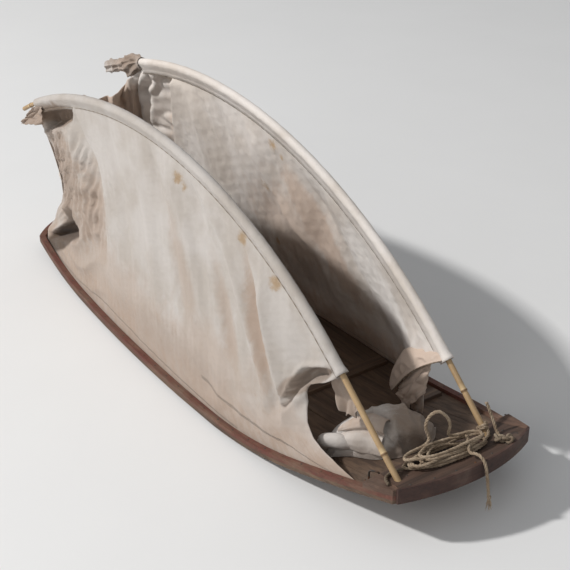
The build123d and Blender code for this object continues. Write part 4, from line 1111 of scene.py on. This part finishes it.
def frontPanel():
    # the mound: between its edges, an S up to the ridge and a power curve down, with straight creases laid over it
    along, across = shares(heap["rows"], heap["columns"])
    tables = ("rearX", "rearY", "frontX", "frontY", "ridge", "high")
    values = (softTable(across, heap["across"], heap[name], 0.06) for name in tables)
    rearX, rearY, frontX, frontY, ridge, high = values
    x = rearX + (frontX - rearX) * along + 0.004 * swell(across, along, 51, 4, 0.2, 0.6)
    y = rearY + (frontY - rearY) * along + 0.004 * swell(along, across, 52, 4, 0.2, 0.6)
    rim = ease(along, 0.0, 0.06) * ease(1 - along, 0.0, 0.05) * ease(across, 0.0, 0.06) * ease(1 - across, 0.0, 0.08)
    fall = 1 - ((along - ridge) / (1 - ridge)).clip(0, 1) ** 1.5
    height = high * np.where(along < ridge, ease(along / ridge, 0.0, 1.0), fall) + 0.005
    for middleX, middleY, heading, long, wide, size in heap["creases"]:
        down = (x - middleX) * math.cos(heading) + (y - middleY) * math.sin(heading)
        aside = (y - middleY) * math.cos(heading) - (x - middleX) * math.sin(heading)
        height = height + size * np.exp(-np.abs(aside) / wide) * bell(down, 0, long * 0.5)
    height = height + 0.0045 * ridged(swell(x, y, 53, 6, 0.05, 0.12)) * ease(high, 0.0, 0.05)
    height = np.maximum(height + 0.001 * swell(x, y, 55, 9, 0.012, 0.04), 0.001)
    mound = joined(x, y, levelHeight(x, hull["plankTop"]) + sheet["lift"] + height * rim)
    # the flap hangs over the mound's starboard shoulder: a section with one fold, carried from edge to edge
    steps = np.linspace(0, 1, 60)
    top, low = smoothLine(heap["flapTop"], 60), smoothLine(heap["flapLow"], 60)
    section = np.linspace(0, 1, len(heap["flapOut"]))
    out, down = (softTable(steps, section, heap[name], 0.03) for name in ("flapOut", "flapDown"))
    out = out + 0.0022 * swell(steps[:, None] * 0.1, steps * 0.08, 57, 6, 0.03, 0.08)
    flap = between(top, low, down[None]) + out[..., None] * unit(np.array(heap["flapFacing"]))
    # the roll: a spiral section that closes in towards its rounded end
    reach = np.linspace(0, 1, 44)[:, None]
    turn = np.linspace(0, 2 * heap["rollTurns"] * np.pi, 100)[None, :]
    closing = np.sqrt(np.clip(1 - ((0.22 - reach) / 0.225).clip(0) ** 2, 0, 1))
    radius = heap["rollRadius"] * (0.3 + 0.7 * turn / turn.max()) * closing
    radius = radius * (1 + 0.07 * swell(reach * 0.08, turn * 0.004, 58, 5, 0.02, 0.06))
    radius = radius * (1 - 0.45 * ease(reach, 0.45, 1.0))
    start, end = np.array(heap["rollStart"]), np.array(heap["rollEnd"])
    ahead = unit(end - start)
    aside = unit(np.cross(ahead, (0, 0, 1)))
    axis = start + (end - start) * reach[..., None] + np.array([0, 0, 0.004]) * np.sin(np.pi * reach)[..., None]
    roll = axis + radius[..., None] * circle(turn, aside, np.cross(aside, ahead))
    grids = [(mound, along * 0.2, across * 0.3 + 0.2), (flap, steps[:, None] * 0.1, steps * 0.09),
             (roll, reach * 0.1, turn * 0.008)]
    clothPiece("frontPanel", cloths["loose"], ["front_panel"], grids)


frontPanel()

# Port front edge: a cuff that droops from the sleeve's mouth inside the wall, its hem free
cuff = {
    "top": [(0.632, 0.1125, 0.256), (0.5655, 0.112, 0.2226), (0.5296, 0.112, 0.2108), (0.5075, 0.112, 0.198),
            (0.4876, 0.112, 0.158), (0.4654, 0.112, 0.1138), (0.4617, 0.112, 0.0817), (0.4704, 0.112, 0.068)],
    "hem": [(0.652, 0.0905, 0.243), (0.6446, 0.085, 0.2401), (0.6009, 0.085, 0.208), (0.5666, 0.085, 0.1761),
            (0.5388, 0.085, 0.1429), (0.514, 0.085, 0.1048), (0.499, 0.09, 0.088), (0.485, 0.1, 0.077)],
    "rows": 90, "columns": 24, "bulge": 0.01, "crumple": 0.0022, "hemOut": 0.003, "threadRadius": 0.0011,
}


def portCuff():
    # straight lines from top to hem, bulged inboard by a sine
    top, hem = smoothLine(cuff["top"], cuff["rows"]), smoothLine(cuff["hem"], cuff["rows"])
    along, down = shares(cuff["rows"], cuff["columns"])
    bulge = cuff["bulge"] * (0.35 + 0.65 * np.sin(np.pi * along))
    bulge = bulge + cuff["crumple"] * ridged(swell(along * 0.25, down * 0.05, 33, 6, 0.03, 0.09))
    points = between(top, hem, down)
    points[..., 1] -= bulge * np.sin(np.pi * down) + cuff["hemOut"] * ease(down, 0.85, 1.0)
    clothPiece("portCuff", cloths["cuff"], [], [(points, along * 0.26, down * 0.045 + 0.2)],
               0.0022)
    # a dark thread tube just under the cuff's hem: the sewn hem, and painted shadow in the gap under it
    thread = Patchwork()
    radius = cuff["threadRadius"] + 0.0003 * np.sin(np.arange(len(hem) - 4) * 1.3)
    thread.tube(points[2:-2, -1] + np.array([0, -0.0012, -0.0008]), radius, 6)
    thread.piece("cuffHemShadowThread", threadLook)


portCuff()

# Small loose cloths: each a grid between two lines of points, with a bow across it and fine waves
scraps = {
    # a torn scrap that hangs from the starboard sleeve's rear end
    "rearScrap": {
        "top": [(-0.64, -0.2, 0.506), (-0.668, -0.204, 0.5), (-0.7, -0.204, 0.486), (-0.722, -0.203, 0.47)],
        "low": [(-0.652, -0.2, 0.452), (-0.684, -0.207, 0.444), (-0.74, -0.21, 0.43), (-0.79, -0.203, 0.412)],
        "bow": 0.014, "cloth": (0.052, 0.112), "rests": "sideStarboard", "look": "scrap",
    },
    # the lit tongue that hangs below the cuff's hem
    "cuffTongue": {
        "top": [(0.612, 0.098, 0.214), (0.57, 0.098, 0.182), (0.54, 0.098, 0.148), (0.512, 0.098, 0.108)],
        "low": [(0.6, 0.092, 0.13), (0.57, 0.09, 0.09), (0.545, 0.09, 0.058), (0.508, 0.094, 0.073)],
        "bow": -0.008, "cloth": (0.062, 0.14), "rests": "portCuff", "look": "cuff",
    },
    # the torn edge of the seam behind the starboard cane
    "mouthFlap": {
        "top": [(0.548, -0.16, 0.318), (0.572, -0.156, 0.304), (0.598, -0.152, 0.286), (0.622, -0.15, 0.266)],
        "low": [(0.58, -0.142, 0.186), (0.606, -0.136, 0.166), (0.632, -0.134, 0.178), (0.65, -0.14, 0.214)],
        "bow": 0.012, "cloth": (0.075, 0.12), "rests": "sideStarboard", "look": "scrap",
    },
}


def looseScrap(name, shape):
    # straight lines between the two edges, bowed by a sine each way
    along, down = shares(40, 40)
    ragged = 1 + 0.05 * swell(along * 0.1, along * 0, 41, 5, 0.01, 0.04)
    points = between(smoothLine(shape["top"], 40), smoothLine(shape["low"], 40), down * ragged)
    crumple = 0.005 * ridged(swell(along * 0.1, down * 0.1, 43, 5, 0.03, 0.07)) * (0.3 + 0.7 * down)
    points[..., 1] += shape["bow"] * np.sin(np.pi * down) * np.sin(np.pi * along) + crumple
    wide, long = shape["cloth"]
    clothPiece(name, cloths[shape["look"]], [], [(points, along * long, down * wide + 0.2)])


for name, shape in scraps.items():
    looseScrap(name, shape)
print("loose canvas made")

# Wood: dark and light tone, the grain's axis, paint and how much of it stays
woods = {
    "deckWood": ((0.032, 0.018, 0.012), (0.105, 0.058, 0.038), 1),
    "cheekWood": ((0.055, 0.03, 0.02), (0.17, 0.095, 0.062), 0),
    "hullPlanks": ((0.05, 0.03, 0.02), (0.17, 0.105, 0.065), 0),
    "battenWood": ((0.06, 0.036, 0.024), (0.2, 0.125, 0.078), 1),
    "runnerWood": ((0.075, 0.048, 0.03), (0.24, 0.16, 0.1), 0),
    "railPaint": ((0.07, 0.038, 0.024), (0.23, 0.135, 0.085), 0, (0.132, 0.04, 0.027), 0.35),
    "endRailPaint": ((0.07, 0.038, 0.024), (0.23, 0.135, 0.085), 1, (0.132, 0.04, 0.027), 0.35),
    # the nosing's paint and wood are darkened nearly to black: a red-brown paint, and painted shade on the bow's
    # front face
    "nosingPaintAndShade": ((0.045, 0.024, 0.017), (0.105, 0.05, 0.034), 1, (0.048, 0.02, 0.014), 0.25),
}
looks = {name: woodFinish(name, *values) for name, values in woods.items()}
looks["forgedIron"] = ironFinish("forgedIron")
# the start of a node's name, and its look
nodeLooks = {"plank": "hullPlanks", "runner": "runnerWood", "batten": "battenWood", "deck_beam": "battenWood",
             "deck_plank": "deckWood", "deck_cheek": "cheekWood", "rail": "railPaint", "rail_stern": "endRailPaint",
             "rail_bow": "endRailPaint", "bow_nosing": "nosingPaintAndShade", "staple": "forgedIron"}
for start, look in nodeLooks.items():
    for name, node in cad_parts.items():
        if name.startswith(start):
            node.data.materials.clear()
            node.data.materials.append(looks[look])

# Nail heads: low domes along the rails and across the deck
# End rows follow the bow's and the stern's curve: x at the middle, and its change by the square of y
nails = {"pitch": 0.058, "inset": 0.008, "radius": 0.0026, "high": 0.0011, "deckX": 0.745, "sunk": 0.0001,
         "bowRow": (0.858, -1.26), "sternRow": (-0.862, 2.4), "beamX": 0.797, "beamY": (-0.13, -0.04, 0.05, 0.14)}


def nailHeads():
    # each head a flattened quarter turn of circles, tilted with the rocker
    spots = []
    for side in (-1, 1):
        for x in np.arange(-0.76, 0.80, nails["pitch"]):
            level = hull["railTop" if x < nails["deckX"] else "deckTop"]
            spots.append((x, side * (float(halfWidth(x)) - nails["inset"]), level))
    for y in np.arange(-0.15, 0.16, 0.05):
        for row, level in (("bowRow", "deckTop"), ("sternRow", "railTop")):
            middle, bend = nails[row]
            spots.append((middle + bend * y * y, y, hull[level]))
    spots += [(nails["beamX"], y, hull["deckTop"]) for y in nails["beamY"]]
    patch = Patchwork()
    lift = np.linspace(0, np.pi / 2, 4)[:, None]
    turn = np.linspace(0, 2 * np.pi, 10, endpoint=False)
    dome = joined(np.cos(lift) * np.cos(turn), np.cos(lift) * np.sin(turn)) * nails["radius"]
    for x, y, level in spots:
        tilt = (levelHeight(x + 0.001, level) - levelHeight(x - 0.001, level)) / 0.002
        z = levelHeight(x, level) + dome[..., 0] * tilt + np.sin(lift) * nails["high"] - nails["sunk"]
        patch.grid(joined(x + dome[..., 0], y + dome[..., 1], z), True)
    patch.piece("nailHeads", looks["forgedIron"])


nailHeads()
print("wood and iron made")

# Floor, and soft studio light: a far key from the left, a weak fill from the right, a pale world
ground = Finish("paleFloor", **{"Roughness": 1.0, "Specular IOR Level": 0.1})
ground.feed(colour=ground.mix((0.76, 0.75, 0.735), (0.79, 0.78, 0.765), ground.noise(ground.place(), 3.0, 4.0, 0.5)))
plane = bpy.data.meshes.new("floor")
plane.from_pydata([(x, y, -0.0005) for x, y in ((-20, -20), (20, -20), (20, 20), (-20, 20))], [], [(0, 1, 2, 3)])
plane.materials.append(ground.material)
floor = bpy.data.objects.new("floor", plane)
bpy.context.scene.collection.objects.link(floor)
lamps = {
    "key": {"place": (-4.24, -7.34, 7.83), "size": 0.65, "power": 1090},
    "fill": {"place": (2.0, -3.9, 2.3), "size": 2.2, "power": 32},
}
for name, lamp in lamps.items():
    light = bpy.data.lights.new(name, "AREA")
    light.energy, light.size = lamp["power"], lamp["size"]
    aimed(name, light, lamp["place"], Vector((0, 0, 0.2)) - Vector(lamp["place"]))
world = bpy.data.worlds.new("studio")
world.use_nodes = True
sky = world.node_tree.nodes["Background"].inputs
sky[0].default_value = (0.93, 0.96, 1.0, 1)
sky[1].default_value = 0.36
bpy.context.scene.world = world
bpy.context.scene.view_settings.view_transform = "Standard"

print("scene made")
